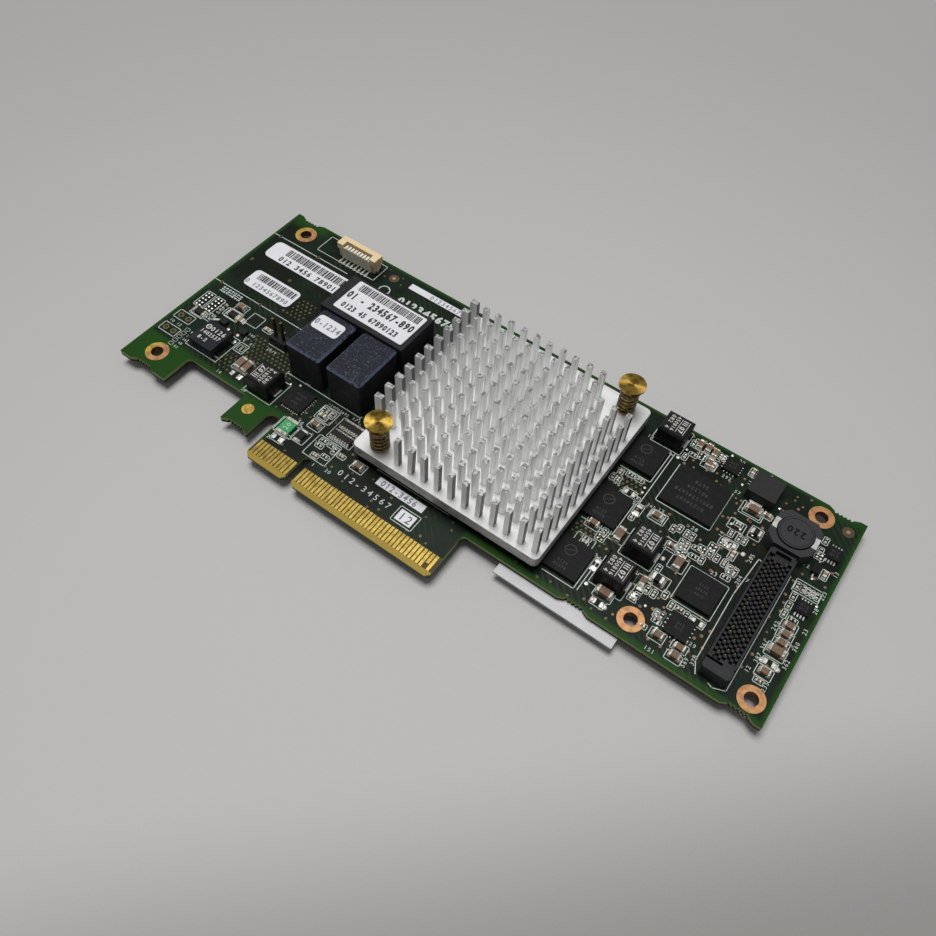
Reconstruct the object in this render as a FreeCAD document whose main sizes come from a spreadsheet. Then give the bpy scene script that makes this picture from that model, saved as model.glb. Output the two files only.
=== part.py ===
import FreeCAD, Part
import os
import Sketcher

# Raid controller card: a low-profile plug-in board, lying with its parts upwards.
# +X runs from the bracket end to the far end, +Y from the edge contacts to the top edge, +Z up.
# The origin is the middle of the outline, at the level of the lowest tips under the board.

doc = FreeCAD.newDocument("raid_controller_card")
sheet = doc.addObject("Spreadsheet::Sheet", "sheet")
kept = []
rowCount = 0


def cells(prefix, values):
    """Writes plain numbers into the sheet, each with an alias."""
    global rowCount
    for word, value in values.items():
        rowCount += 1
        sheet.set(f"A{rowCount}", prefix + word)
        sheet.set(f"B{rowCount}", str(value))
        sheet.setAlias(f"B{rowCount}", prefix + word)


def value(formula):
    """The number that a formula over the sheet's aliases gives."""
    return float(sheet.evalExpression(formula))


# Driving dimensions, in millimetres.

cells("board_", {
    "length": 167.65, "width": 68.9, "thickness": 1.57, "lift": 2.5,
    "edge_height": 12.65, "tab_bottom": 4.2, "tab_length": 14.85,
    "notch_end": 33.6, "notch_radius": 1.2, "hook_end": 41.6, "hook_slot_end": 45.25,
    "hook_slot_top": 12.35, "tongue_chamfer": 0.9, "bevel_depth": 1.2, "bevel_height": 0.4,
    "key_middle": 57.67, "key_width": 1.9, "key_top": 8.0, "tongue_end": 97.27,
    "corner_radius": 1.0,
})
cells("breakoff_", {
    "length": 7.4, "depth": 0.8, "slope": 1.7, "bite_radius": 0.32, "bite_pitch": 0.95,
    "bracket_top_x": 5.3, "bracket_foot_x": 7.1, "far_x": 5.3, "middle_x": 42.7,
})
cells("contact_", {
    "width": 0.7, "pitch": 1.0, "thickness": 0.05, "first": 1.5, "bottom": 1.2, "top": 5.25,
    "short_bottom": 2.6,
})
cells("hole_", {"radius": 1.55, "ring_radius": 2.92, "ring_thickness": 0.05})
cells("hole_bracket_", {"x": 7.25, "top_y": 5.4, "foot_y": 9.35})
cells("hole_far_top_", {"x": 9.3, "y": 4.2})
cells("hole_far_foot_", {"x": 4.1, "y": 16.85})
cells("hole_middle_foot_", {"x": 31.5, "y": 17.35})
cells("fiducial_", {"radius": 0.5, "thickness": 0.05, "spot_radius": 1.5})
cells("chip_", {"side": 27.0, "substrate": 1.4, "lid_side": 23.0, "lid": 0.6, "x": 89.98, "y": 38.82})
cells("pad_", {"side": 20.0, "thickness": 0.3})
cells("heatsink_", {
    "length": 49.3, "width": 49.5, "base": 3.1, "total_height": 11.7, "roof": 0.35,
    "pitch": 3.6, "pin_length": 1.25, "pin_width": 1.3, "edge_pin_length": 2.0,
    "right_margin": 1.7, "front_margin": 2.0, "left_margin": 0.05, "plunger_gap": 0.3,
})
cells("plunger_", {
    "reach_x": 19.15, "reach_y": 21.4, "radius": 1.4, "play": 0.2, "head_radius": 3.15,
    "head_rim": 0.5, "head_cone": 1.9, "cone_radius": 1.75, "top": 14.3, "barb_radius": 2.0,
    "tip_radius": 0.8,
})
cells("spring_", {"radius": 2.25, "wire": 0.5})
cells("port_", {
    "x": 48.425, "y": 38.05, "length": 24.6, "width": 12.5, "height": 11.5, "side_wall": 1.1,
    "middle_wall": 2.0, "back_wall": 2.5, "floor": 1.6, "roof": 1.5, "tongue_gap": 1.3,
    "tongue_height": 1.1, "tongue_depth": 5.4, "tongue_rise": 2.4, "tongue_pitch": 2.9,
    "contact_width": 0.35, "contact_pitch": 0.8, "contact_depth": 4.4, "contact_thickness": 0.1,
    "contact_margin": 0.4, "contact_setback": 0.5,
})
cells("block_", {
    "gap": 2.1, "width": 13.9, "height": 10.7, "bevel": 0.7,
    "tail_side": 0.4, "tail_pitch_x": 1.5, "tail_pitch_y": 1.8,
})
cells("fan_header_", {
    "x": 25.725, "y": 4.35, "length": 12.8, "width": 3.4, "height": 4.5, "wall": 0.6, "floor": 1.0,
    "window_height": 1.6, "window_length": 7.6, "pitch": 1.25, "pin_side": 0.35, "pin_height": 3.4,
    "lead_length": 1.6, "lead_thickness": 0.2,
})
cells("jumper_", {
    "x": 29.475, "y": 29.38, "pitch": 2.54, "base": 2.5, "pin_side": 0.64, "pin_height": 8.5,
})
cells("socket_", {
    "x": 12.425, "y": 31.8, "length": 6.1, "width": 33.2, "height": 4.0, "bevel": 0.35,
    "wall": 0.4, "end_wall": 2.4, "well_depth": 0.6, "column_pitch": 0.95, "row_pitch": 1.3,
    "blade_margin": 0.1, "row_margin": 1.0, "blade_length": 0.35, "blade_width": 0.2,
    "blade_height": 0.5,
})
cells("drum_", {
    "x": 12.475, "y": 54.55, "side": 10.0, "diagonal": 11.6, "height": 3.7, "bore": 4.2,
    "gap": 0.25, "waist": 2.6, "flange": 0.9, "proud": 0.3, "clip_width": 2.9, "clip_reach": 1.3,
    "clip_thickness": 0.15,
})
cells("choke_", {"length": 6.6, "width": 6.4, "height": 4.8, "bevel": 0.45,
                 "foot_length": 0.5, "foot_width": 3.2, "foot_height": 1.2})
cells("part_", {"foot_length": 0.35, "foot_height": 0.25, "foot_width": 0.3, "gullwing": 0.9})
cells("mark_", {"bracket_x": 36.75, "bracket_y": 3.85, "far_x": 2.95, "far_y": 4.25,
                "spot_x": 37.05, "spot_y": 9.75})
cells("choke_bracket_", {"x": 35.925, "y": 17.35})
cells("choke_top_", {"x": 46.625, "y": 4.85})
cells("choke_middle_", {"x": 37.525, "y": 33.05})
cells("choke_foot_", {"x": 39.025, "y": 23.35})
cells("array_", {"length": 5.6, "width": 1.6, "height": 0.7, "x": 60.0, "y": 19.9, "pitch": 3.3,
                 "foot_side": 0.4, "foot_pitch": 0.7})
cells("fuse_", {"length": 3.2, "width": 4.8, "height": 0.8, "cap": 0.8, "x": 48.125, "y": 11.25})
cells("label_", {"thickness": 0.1})

# Chips and other plain bodies: length, width, height, and the distances of the middle from the
# bracket end (or, where negative, from the far end) and from the contact edge (or the top edge).

chips = {
    "memory_chip_top": (11.5, 9.0, 1.1, 116.875, -14.15),
    "memory_chip_middle": (11.5, 9.0, 1.1, 116.875, 37.6),
    "memory_chip_foot": (11.5, 9.0, 1.1, 116.875, 21.5),
    "flash_chip": (13.1, 11.4, 1.1, -34.7, 52.15),
    "logic_chip": (7.8, 8.2, 1.1, -22.7, 31.35),
    "regulator_chip_far": (5.3, 5.4, 0.9, -22.6, 21.55),
    "regulator_chip_top": (3.9, 4.1, 0.9, -31.4, -4.1),
    "clock_chip": (5.8, 6.2, 0.9, 44.9, 18.65),
    "flat_inductor": (6.7, 6.5, 3.0, -22.6, -6.5),
    "line_transformer": (7.4, 7.6, 2.8, 15.8, 19.55),
    "eight_lead_chip_top": (3.0, 3.2, 1.0, -3.45, 57.0),
    "eight_lead_chip_foot": (3.0, 3.0, 1.0, -3.7, 40.9),
    "transistor": (1.6, 2.8, 1.0, -5.2, 51.45),
}
for chipName, (length, width, height, x, y) in chips.items():
    cells(chipName + "_", {"length": length, "width": width, "height": height, "x": x, "y": y})

# Two-ended parts: size, place of the middle by the same rule, and whether it lies along Y.

cells("large_", {"length": 3.5, "width": 1.7, "height": 1.4, "cap": 0.6})
cells("medium_", {"length": 2.3, "width": 1.3, "height": 1.1, "cap": 0.4})
capacitors = [
    ("large", 26.5, 18.6, True), ("large", 28.6, 18.6, True), ("large", -43.3, 33.0, True),
    ("large", -38.8, 19.0, False), ("large", -22.4, 56.8, False), ("large", -4.3, 28.7, False),
    ("large", -29.7, 34.6, True), ("medium", -4.4, 35.4, False), ("medium", -4.3, 33.2, False),
    ("medium", -4.2, 31.0, False), ("medium", -4.4, 23.3, False), ("medium", -40.1, -3.1, True),
    ("medium", -38.1, -2.9, True), ("medium", -36.3, -3.3, True), ("medium", -36.2, -6.7, True),
    ("medium", -39.1, 42.3, False), ("medium", -49.3, 32.2, False), ("medium", -33.6, 26.3, True),
    ("medium", -25.4, 17.4, False), ("medium", -20.5, 17.6, False), ("medium", -20.5, 15.5, False),
    ("medium", 13.2, 32.5, False), ("medium", 52.8, 15.7, False), ("medium", 68.2, 12.6, False),
]
resistors = [
    ("large", 52.2, 11.3, True), ("large", 13.2, 29.5, False), ("large", 5.7, 25.1, False),
]
for kind, places in (("capacitor", capacitors), ("resistor", resistors)):
    for index, (size, x, y, turned) in enumerate(places, 1):
        cells(f"{kind}_{index}_", {"x": x, "y": y})

# Paper labels: length, width, and the place of the middle by the same rule.

boardLabels = {
    "barcode_label_long": (30.0, 6.7, 18.225, 53.9),
    "barcode_label_short": (15.6, 6.5, 14.225, 42.5),
    "label_strip_top": (22.0, 2.2, 52.8, -3.4),
    "label_strip_foot": (13.2, 2.3, 80.3, 12.6),
    "number_label": (4.4, 3.2, 84.85, 8.5),
    "underside_label": (29.3, 4.4, -46.1, 12.0),
}
for labelName, (length, width, x, y) in boardLabels.items():
    cells(labelName + "_", {"length": length, "width": width, "x": x, "y": y})
cells("port_label_", {"length": 21.0, "width": 10.6, "x": 0.7, "y": 6.55})
cells("block_label_", {"length": 8.0, "width": 4.8, "x": 0.35, "y": 4.05})
doc.recompute()

boardTop = "(sheet.board_lift + sheet.board_thickness)"
bracketEnd = "(-sheet.board_length / 2)"
farEnd = "(sheet.board_length / 2)"
contactEdge = "(-sheet.board_width / 2)"
topEdge = "(sheet.board_width / 2)"


def bind(obj, links):
    for name, formula in links.items():
        obj.setExpression(name, formula)
    return obj


def place(obj, x, y, z):
    return bind(obj, {".Placement.Base.x": x, ".Placement.Base.y": y, ".Placement.Base.z": z})


def box(name, length, width, height, x, y, z):
    """A box between its lowest corner and that corner plus its sides."""
    obj = doc.addObject("Part::Box", name)
    bind(obj, {"Length": length, "Width": width, "Height": height})
    return place(obj, x, y, z)


def middleBox(name, length, width, height, x, y, z):
    """A box whose middle is given in plan."""
    return box(name, length, width, height, f"{x} - ({length}) / 2", f"{y} - ({width}) / 2", z)


def cylinder(name, radius, height, x, y, z):
    obj = doc.addObject("Part::Cylinder", name)
    bind(obj, {"Radius": radius, "Height": height})
    return place(obj, x, y, z)


def cone(name, lowRadius, highRadius, height, x, y, z):
    obj = doc.addObject("Part::Cone", name)
    bind(obj, {"Radius1": lowRadius, "Radius2": highRadius, "Height": height})
    return place(obj, x, y, z)


def fuse(name, shapes):
    obj = doc.addObject("Part::MultiFuse", name)
    obj.Shapes = shapes
    return obj


def cut(name, base, tool):
    obj = doc.addObject("Part::Cut", name)
    obj.Base = base
    obj.Tool = tool
    return obj


def group(name, shapes):
    """Separate solids kept together as one sub-part."""
    obj = doc.addObject("Part::Compound", name)
    obj.Links = shapes
    return obj


def keep(obj, node):
    obj.Label = node
    kept.append(obj)
    return obj


def originFeature(body, role):
    return [feature for feature in body.Origin.OriginFeatures if feature.Role == role][0]


def sketchOn(body, name, role):
    sketch = body.newObject("Sketcher::SketchObject", name)
    sketch.AttachmentSupport = [(originFeature(body, role), "")]
    sketch.MapMode = "FlatFace"
    return sketch


def closedOutline(sketch, points):
    """Straight lines round the points, joined end to end."""
    count = len(points)
    for index in range(count):
        start = FreeCAD.Vector(points[index][0], points[index][1], 0)
        end = FreeCAD.Vector(points[(index + 1) % count][0], points[(index + 1) % count][1], 0)
        sketch.addGeometry(Part.LineSegment(start, end), False)
    for index in range(count):
        sketch.addConstraint(Sketcher.Constraint("Coincident", index, 2, (index + 1) % count, 1))


def measure(sketch, kind, references, formula):
    """A dimension of the sketch that follows a formula."""
    row = sketch.addConstraint(Sketcher.Constraint(kind, *references, value(formula)))
    sketch.setExpression(f"Constraints[{row}]", formula)


def rectangleSketch(body, name, length, width):
    """A rectangle in the body's XY plane, with one corner on its origin."""
    sketch = sketchOn(body, name, "XY_Plane")
    a, b = value(length), value(width)
    closedOutline(sketch, [(0, 0), (a, 0), (a, b), (0, b)])
    sketch.addConstraint(Sketcher.Constraint("Coincident", 0, 1, -1, 1))
    for line, kind in enumerate(["Horizontal", "Vertical", "Horizontal", "Vertical"]):
        sketch.addConstraint(Sketcher.Constraint(kind, line))
    measure(sketch, "DistanceX", (0, 1, 0, 2), length)
    measure(sketch, "DistanceY", (1, 1, 1, 2), width)
    return sketch


def padOf(body, name, sketch, height):
    pad = body.newObject("PartDesign::Pad", name)
    pad.Profile = sketch
    bind(pad, {"Length": height})
    return pad


def bevelledBlock(name, length, width, height, bevel, x, y, z):
    """A block whose top edges are bevelled, placed by its middle in plan."""
    body = doc.addObject("PartDesign::Body", name)
    sketch = rectangleSketch(body, name + "_outline", length, width)
    pad = padOf(body, name + "_pad", sketch, height)
    doc.recompute()
    top = [f"Face{i + 1}" for i, face in enumerate(pad.Shape.Faces)
           if face.BoundBox.ZMin > pad.Shape.BoundBox.ZMax - 1e-6]
    chamfer = body.newObject("PartDesign::Chamfer", name + "_bevel")
    chamfer.Base = (pad, top)
    bind(chamfer, {"Size": bevel})
    body.Tip = chamfer
    return place(body, f"{x} - ({length}) / 2", f"{y} - ({width}) / 2", z)


# Circuit board: a blank, less the stretches beside the tongue, the slots, the recesses and the holes.

def roundedSlot(name, left, right, top, radius):
    """A cutter open downwards, whose two upper corners are rounded."""
    low = f"({contactEdge} - 5)"
    deep = "(sheet.board_thickness + 2)"
    base = "(sheet.board_lift - 1)"
    wide = box(name + "_wide", f"{right} - {left}", f"{top} - {radius} - {low}", deep, left, low, base)
    tall = box(name + "_tall", f"{right} - {left} - 2 * {radius}", f"{top} - {low}", deep,
               f"{left} + {radius}", low, base)
    ends = [cylinder(name + side, radius, deep, middle, f"{top} - {radius}", base)
            for side, middle in (("_left", f"{left} + {radius}"), ("_right", f"{right} - {radius}"))]
    return fuse(name, [wide, tall] + ends)


def breakoffTools(name, x, y, inward):
    """A shallow tapered recess with a row of small bites, where a carrier strip was snapped off.

    It is cut into the edge at height y; inward is 1 where the board lies above the edge.
    """
    low = sheet.get("board_lift") - 1
    high = low + sheet.get("board_thickness") + 2
    middle, edge = value(x), value(y)
    half = sheet.get("breakoff_length") / 2
    flat = half - sheet.get("breakoff_slope")
    depth = sheet.get("breakoff_depth")
    outline = [(-half, 0), (-flat, depth), (flat, depth), (half, 0), (half, -depth), (-half, -depth)]
    points = [FreeCAD.Vector(middle + dx, edge + inward * dy, low) for dx, dy in outline]
    recess = Part.Face(Part.makePolygon(points + points[:1])).extrude(FreeCAD.Vector(0, 0, high - low))
    solids = [recess]
    pitch = sheet.get("breakoff_bite_pitch")
    biteCount = int(2 * flat / pitch) + 1
    for index in range(biteCount):
        biteX = middle + (index - (biteCount - 1) / 2) * pitch
        centre = FreeCAD.Vector(biteX, edge + inward * depth, low)
        solids.append(Part.makeCylinder(sheet.get("breakoff_bite_radius"), high - low, centre))
    obj = doc.addObject("Part::Feature", name)
    obj.Shape = solids[0].multiFuse(solids[1:])
    return obj


def wedgeTool(name, points, direction):
    """A prism: a plane outline swept along one direction, both worked out from the sheet."""
    corners = [FreeCAD.Vector(*point) for point in points]
    obj = doc.addObject("Part::Feature", name)
    obj.Shape = Part.Face(Part.makePolygon(corners + corners[:1])).extrude(FreeCAD.Vector(*direction))
    return obj


def tongueTools():
    """The lead-in bevels under and over the tongue, and its cut corners."""
    edge = value(contactEdge)
    start = value(f"{bracketEnd} + sheet.board_hook_slot_end")
    end = value(f"{bracketEnd} + sheet.board_tongue_end")
    low = sheet.get("board_lift")
    high = value(boardTop)
    depth = sheet.get("board_bevel_depth")
    height = sheet.get("board_bevel_height")
    run = end - start + 2
    upper = [(start - 1, edge - 1, high + 1), (start - 1, edge + depth, high + 1),
             (start - 1, edge + depth, high), (start - 1, edge, high - height),
             (start - 1, edge - 1, high - height)]
    lower = [(x, y, low + high - z) for x, y, z in upper]
    tools = [wedgeTool("bevel_over", upper, (run, 0, 0)), wedgeTool("bevel_under", lower, (run, 0, 0))]
    size = sheet.get("board_tongue_chamfer")
    key = value(f"{bracketEnd} + sheet.board_key_middle")
    halfKey = sheet.get("board_key_width") / 2
    corners = [(start, 1), (key - halfKey, -1), (key + halfKey, 1), (end, -1)]
    for index, (x, side) in enumerate(corners):
        triangle = [(x - side, edge - 1, low - 1), (x + side * size, edge - 1, low - 1),
                    (x + side * size, edge, low - 1), (x, edge + size, low - 1),
                    (x - side, edge + size, low - 1)]
        tools.append(wedgeTool(f"tongue_corner_{index + 1}", triangle, (0, 0, high - low + 2)))
    return tools


mountingHoles = {
    "bracket_top": (f"{bracketEnd} + sheet.hole_bracket_x", f"{topEdge} - sheet.hole_bracket_top_y"),
    "bracket_foot": (f"{bracketEnd} + sheet.hole_bracket_x",
                     f"{contactEdge} + sheet.hole_bracket_foot_y"),
    "far_top": (f"{farEnd} - sheet.hole_far_top_x", f"{topEdge} - sheet.hole_far_top_y"),
    "far_foot": (f"{farEnd} - sheet.hole_far_foot_x", f"{contactEdge} + sheet.hole_far_foot_y"),
    "middle_foot": (f"{farEnd} - sheet.hole_middle_foot_x",
                    f"{contactEdge} + sheet.hole_middle_foot_y"),
}
chipX = f"({bracketEnd} + sheet.chip_x)"
chipY = f"({contactEdge} + sheet.chip_y)"
plungers = {
    "front": (f"{chipX} - sheet.plunger_reach_x", f"{chipY} - sheet.plunger_reach_y"),
    "rear": (f"{chipX} + sheet.plunger_reach_x", f"{chipY} + sheet.plunger_reach_y"),
}


def buildBoard():
    deep = "(sheet.board_thickness + 2)"
    base = "(sheet.board_lift - 1)"
    blank = box("board_blank", "sheet.board_length", "sheet.board_width", "sheet.board_thickness",
                bracketEnd, contactEdge, "sheet.board_lift")
    edge = f"({contactEdge} + sheet.board_edge_height)"
    tools = [
        box("below_tabs", "sheet.board_hook_slot_end + 5", "sheet.board_tab_bottom + 5", deep,
            f"{bracketEnd} - 5", f"{contactEdge} - 5", base),
        roundedSlot("bracket_notch", f"({bracketEnd} + sheet.board_tab_length)",
                    f"({bracketEnd} + sheet.board_notch_end)", edge, "sheet.board_notch_radius"),
        roundedSlot("hook_slot", f"({bracketEnd} + sheet.board_hook_end)",
                    f"({bracketEnd} + sheet.board_hook_slot_end)",
                    f"({contactEdge} + sheet.board_hook_slot_top)",
                    "((sheet.board_hook_slot_end - sheet.board_hook_end) / 2 - 0.01)"),
        roundedSlot("key_slot", f"({bracketEnd} + sheet.board_key_middle - sheet.board_key_width / 2)",
                    f"({bracketEnd} + sheet.board_key_middle + sheet.board_key_width / 2)",
                    f"({contactEdge} + sheet.board_key_top)", "(sheet.board_key_width / 2 - 0.01)"),
        roundedSlot("beyond_tongue", f"({bracketEnd} + sheet.board_tongue_end)", f"({farEnd} + 10)",
                    edge, "sheet.board_corner_radius"),
    ]
    for name, (x, y) in mountingHoles.items():
        tools.append(cylinder("bore_" + name, "sheet.hole_radius", deep, x, y, base))
    for name, (x, y) in plungers.items():
        tools.append(cylinder("bore_" + name, "sheet.plunger_radius + sheet.plunger_play", deep,
                              x, y, base))
    tabEdge = f"({contactEdge} + sheet.board_tab_bottom)"
    tools += tongueTools()
    tools += [
        breakoffTools("breakoff_bracket_top", f"{bracketEnd} + sheet.breakoff_bracket_top_x", topEdge, -1),
        breakoffTools("breakoff_far_top", f"{farEnd} - sheet.breakoff_far_x", topEdge, -1),
        breakoffTools("breakoff_far_foot", f"{farEnd} - sheet.breakoff_far_x", edge, 1),
        breakoffTools("breakoff_middle", f"{farEnd} - sheet.breakoff_middle_x", edge, 1),
        breakoffTools("breakoff_bracket_foot", f"{bracketEnd} + sheet.breakoff_bracket_foot_x", tabEdge, 1),
        breakoffTools("breakoff_hook", f"{bracketEnd} + (sheet.board_notch_end + sheet.board_hook_end) / 2",
                      tabEdge, 1),
    ]
    keep(cut("board", blank, fuse("board_cutters", tools)), "circuit_board")


def buildContacts():
    """Gold fingers on both sides of the tongue, as many as it holds before and after its key slot."""
    bottom = f"({contactEdge} + sheet.contact_bottom)"
    short = f"({contactEdge} + sheet.contact_short_bottom)"
    top = f"({contactEdge} + sheet.contact_top)"
    key = f"({bracketEnd} + sheet.board_key_middle)"
    taken = "sheet.contact_first - sheet.contact_width / 2"
    before = value(f"sheet.board_key_middle - sheet.board_hook_slot_end - {taken}")
    after = value(f"sheet.board_tongue_end - sheet.board_key_middle - {taken}")
    beforeCount, afterCount = (int(room / sheet.get("contact_pitch")) + 1 for room in (before, after))
    levels = {"top": boardTop, "bottom": "sheet.board_lift - sheet.contact_thickness"}
    for side, level in levels.items():
        pads = []
        for number in list(range(-beforeCount, 0)) + list(range(1, afterCount + 1)):
            reach = f"{abs(number) - 1} * sheet.contact_pitch + sheet.contact_first"
            middle = f"{key} {'-' if number < 0 else '+'} ({reach})"
            foot = short if number == afterCount - 1 else bottom
            pads.append(box(f"contact_{side}_{number + beforeCount}", "sheet.contact_width",
                            f"{top} - {foot}", "sheet.contact_thickness",
                            f"{middle} - sheet.contact_width / 2", foot, level))
        keep(group("contacts_" + side, pads), "edge_contacts_" + side)


def buildHoleRings():
    """Copper lands round the mounting holes, on both faces of the board."""
    rings = []
    levels = {"over": boardTop, "under": "(sheet.board_lift - sheet.hole_ring_thickness)"}
    for name, (x, y) in mountingHoles.items():
        for side, level in levels.items():
            land = cylinder(f"land_{side}_{name}", "sheet.hole_ring_radius", "sheet.hole_ring_thickness",
                            x, y, level)
            inside = cylinder(f"inside_{side}_{name}", "sheet.hole_radius",
                              "3 * sheet.hole_ring_thickness", x, y,
                              f"{level} - sheet.hole_ring_thickness")
            rings.append(cut(f"ring_{side}_{name}", land, inside))
    keep(group("hole_rings", rings), "mounting_hole_rings")


def buildMarks():
    """Bare metal dots: two camera targets and the larger spot on the hook tab."""
    dots = [
        cylinder("target_bracket", "sheet.fiducial_radius", "sheet.fiducial_thickness",
                 f"{bracketEnd} + sheet.mark_bracket_x", f"{topEdge} - sheet.mark_bracket_y", boardTop),
        cylinder("target_far", "sheet.fiducial_radius", "sheet.fiducial_thickness",
                 f"{farEnd} - sheet.mark_far_x", f"{topEdge} - sheet.mark_far_y", boardTop),
        cylinder("hook_spot", "sheet.fiducial_spot_radius", "sheet.fiducial_thickness",
                 f"{bracketEnd} + sheet.mark_spot_x", f"{contactEdge} + sheet.mark_spot_y", boardTop),
    ]
    keep(group("targets", dots), "fiducial_pads")


# Controller stack: chip, lid, thermal pad, heatsink, and the two sprung plungers that hold it down.

def buildController():
    keep(middleBox("chip_block", "sheet.chip_side", "sheet.chip_side", "sheet.chip_substrate",
                   chipX, chipY, boardTop), "controller_chip")
    keep(middleBox("lid_block", "sheet.chip_lid_side", "sheet.chip_lid_side", "sheet.chip_lid",
                   chipX, chipY, f"{boardTop} + sheet.chip_substrate"), "controller_lid")
    keep(middleBox("thermal_block", "sheet.pad_side", "sheet.pad_side", "sheet.pad_thickness",
                   chipX, chipY, f"{boardTop} + sheet.chip_substrate + sheet.chip_lid"), "thermal_pad")


sinkBottom = f"({boardTop} + sheet.chip_substrate + sheet.chip_lid + sheet.pad_thickness)"
sinkTop = f"({sinkBottom} + sheet.heatsink_base)"


lastPinColumn = "(sheet.heatsink_length - sheet.heatsink_right_margin)"
firstPinRow = "sheet.heatsink_front_margin"
columnCount = f"(floor({lastPinColumn} / sheet.heatsink_pitch) + 1)"
rowsOfPins = f"(floor((sheet.heatsink_width - {firstPinRow}) / sheet.heatsink_pitch) + 1)"
headClear = "(sheet.plunger_head_radius + sheet.heatsink_plunger_gap)"
headClearX = f"({headClear} + sheet.heatsink_pin_length / 2)"
headClearY = f"({headClear} + sheet.heatsink_pin_width / 2)"
frontPlunger = ("(sheet.heatsink_length / 2 - sheet.plunger_reach_x)",
                "(sheet.heatsink_width / 2 - sheet.plunger_reach_y)")
rearPlunger = ("(sheet.heatsink_length / 2 + sheet.plunger_reach_x)",
               "(sheet.heatsink_width / 2 + sheet.plunger_reach_y)")
frontColumns = (f"ceil(({frontPlunger[0]} + {headClearX} - {lastPinColumn}) / sheet.heatsink_pitch"
                f" + {columnCount} - 1)")
frontRows = f"ceil(({frontPlunger[1]} + {headClearY} - {firstPinRow}) / sheet.heatsink_pitch)"
rearColumns = f"ceil(({lastPinColumn} - {rearPlunger[0]} + {headClearX}) / sheet.heatsink_pitch)"
rearRows = (f"({rowsOfPins} - 1 - floor(({rearPlunger[1]} - {headClearY} - {firstPinRow})"
            " / sheet.heatsink_pitch))")


def pinField(body, name, pinLength, firstX, firstRow, columns, rows):
    """A rectangular field of square pins with ridged tops, grown from one pin at its lower corner."""
    root = "sheet.heatsink_base / 2"
    shoulder = f"sheet.heatsink_total_height - sheet.heatsink_roof - {root}"
    sketch = sketchOn(body, name + "_profile", "XZ_Plane")
    x, z, w, s, roof = (value(f) for f in (firstX, root, pinLength, shoulder, "sheet.heatsink_roof"))
    closedOutline(sketch, [(x, z), (x + w, z), (x + w, z + s), (x + w / 2, z + s + roof), (x, z + s)])
    sketch.addConstraint(Sketcher.Constraint("Horizontal", 0))
    sketch.addConstraint(Sketcher.Constraint("Vertical", 1))
    sketch.addConstraint(Sketcher.Constraint("Vertical", 4))
    sketch.addConstraint(Sketcher.Constraint("Horizontal", 2, 1, 4, 1))
    measure(sketch, "DistanceX", (-1, 1, 0, 1), firstX)
    measure(sketch, "DistanceY", (-1, 1, 0, 1), root)
    measure(sketch, "DistanceX", (0, 1, 0, 2), pinLength)
    measure(sketch, "DistanceY", (1, 1, 1, 2), shoulder)
    measure(sketch, "DistanceY", (2, 1, 2, 2), "sheet.heatsink_roof")
    measure(sketch, "DistanceX", (4, 1, 3, 1), f"({pinLength}) / 2")
    firstY = f"{firstPinRow} + {firstRow} * sheet.heatsink_pitch"
    bind(sketch, {".AttachmentOffset.Base.z": f"-({firstY})"})
    pin = padOf(body, name + "_pin", sketch, "sheet.heatsink_pin_width")
    pin.Midplane = True
    doc.recompute()
    field = body.newObject("PartDesign::LinearPattern", name)
    field.Originals = [pin]
    field.Direction = (originFeature(body, "X_Axis"), [""])
    field.Direction2 = (originFeature(body, "Y_Axis"), [""])
    field.Mode = "Spacing"
    field.Mode2 = "Spacing"
    bind(field, {"Offset": "sheet.heatsink_pitch", "Offset2": "sheet.heatsink_pitch",
                 "Occurrences": columns, "Occurrences2": rows})
    body.Tip = field
    doc.recompute()


def buildHeatsink():
    body = doc.addObject("PartDesign::Body", "heatsink")
    base = rectangleSketch(body, "sink_outline", "sheet.heatsink_length", "sheet.heatsink_width")
    padOf(body, "sink_base", base, "sheet.heatsink_base")
    doc.recompute()

    def columnStart(column, pinLength):
        return (f"{lastPinColumn} - ({columnCount} - 1 - {column}) * sheet.heatsink_pitch"
                f" - {pinLength} / 2")

    pin = "sheet.heatsink_pin_length"
    pinField(body, "edge_column", "sheet.heatsink_edge_pin_length", "sheet.heatsink_left_margin",
             frontRows, "1", f"{rowsOfPins} - {frontRows}")
    pinField(body, "behind_plunger", pin, columnStart("1", pin), frontRows, f"{frontColumns} - 1",
             f"{rowsOfPins} - {frontRows}")
    pinField(body, "middle_field", pin, columnStart(frontColumns, pin), "0",
             f"{columnCount} - {frontColumns} - {rearColumns}", rowsOfPins)
    pinField(body, "before_plunger", pin, columnStart(f"({columnCount} - {rearColumns})", pin), "0",
             rearColumns, f"{rowsOfPins} - {rearRows}")
    whole = body.Shape.Volume
    holes = sketchOn(body, "plunger_holes", "XY_Plane")
    bore = "sheet.plunger_radius + sheet.plunger_play"
    for index, (x, y) in enumerate([frontPlunger, rearPlunger]):
        centre = FreeCAD.Vector(value(x), value(y), 0)
        holes.addGeometry(Part.Circle(centre, FreeCAD.Vector(0, 0, 1), value(bore)), False)
        measure(holes, "Radius", (index,), bore)
        measure(holes, "DistanceX", (-1, 1, index, 3), x)
        measure(holes, "DistanceY", (-1, 1, index, 3), y)
    pocket = body.newObject("PartDesign::Pocket", "plunger_bores")
    pocket.Profile = holes
    pocket.Type = "ThroughAll"
    pocket.Reversed = True
    body.Tip = pocket
    doc.recompute()
    if body.Shape.Volume >= whole:
        raise RuntimeError("the plunger bores cut nothing")
    place(body, f"{chipX} - sheet.heatsink_length / 2", f"{chipY} - sheet.heatsink_width / 2", sinkBottom)
    keep(body, "heatsink")


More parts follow.
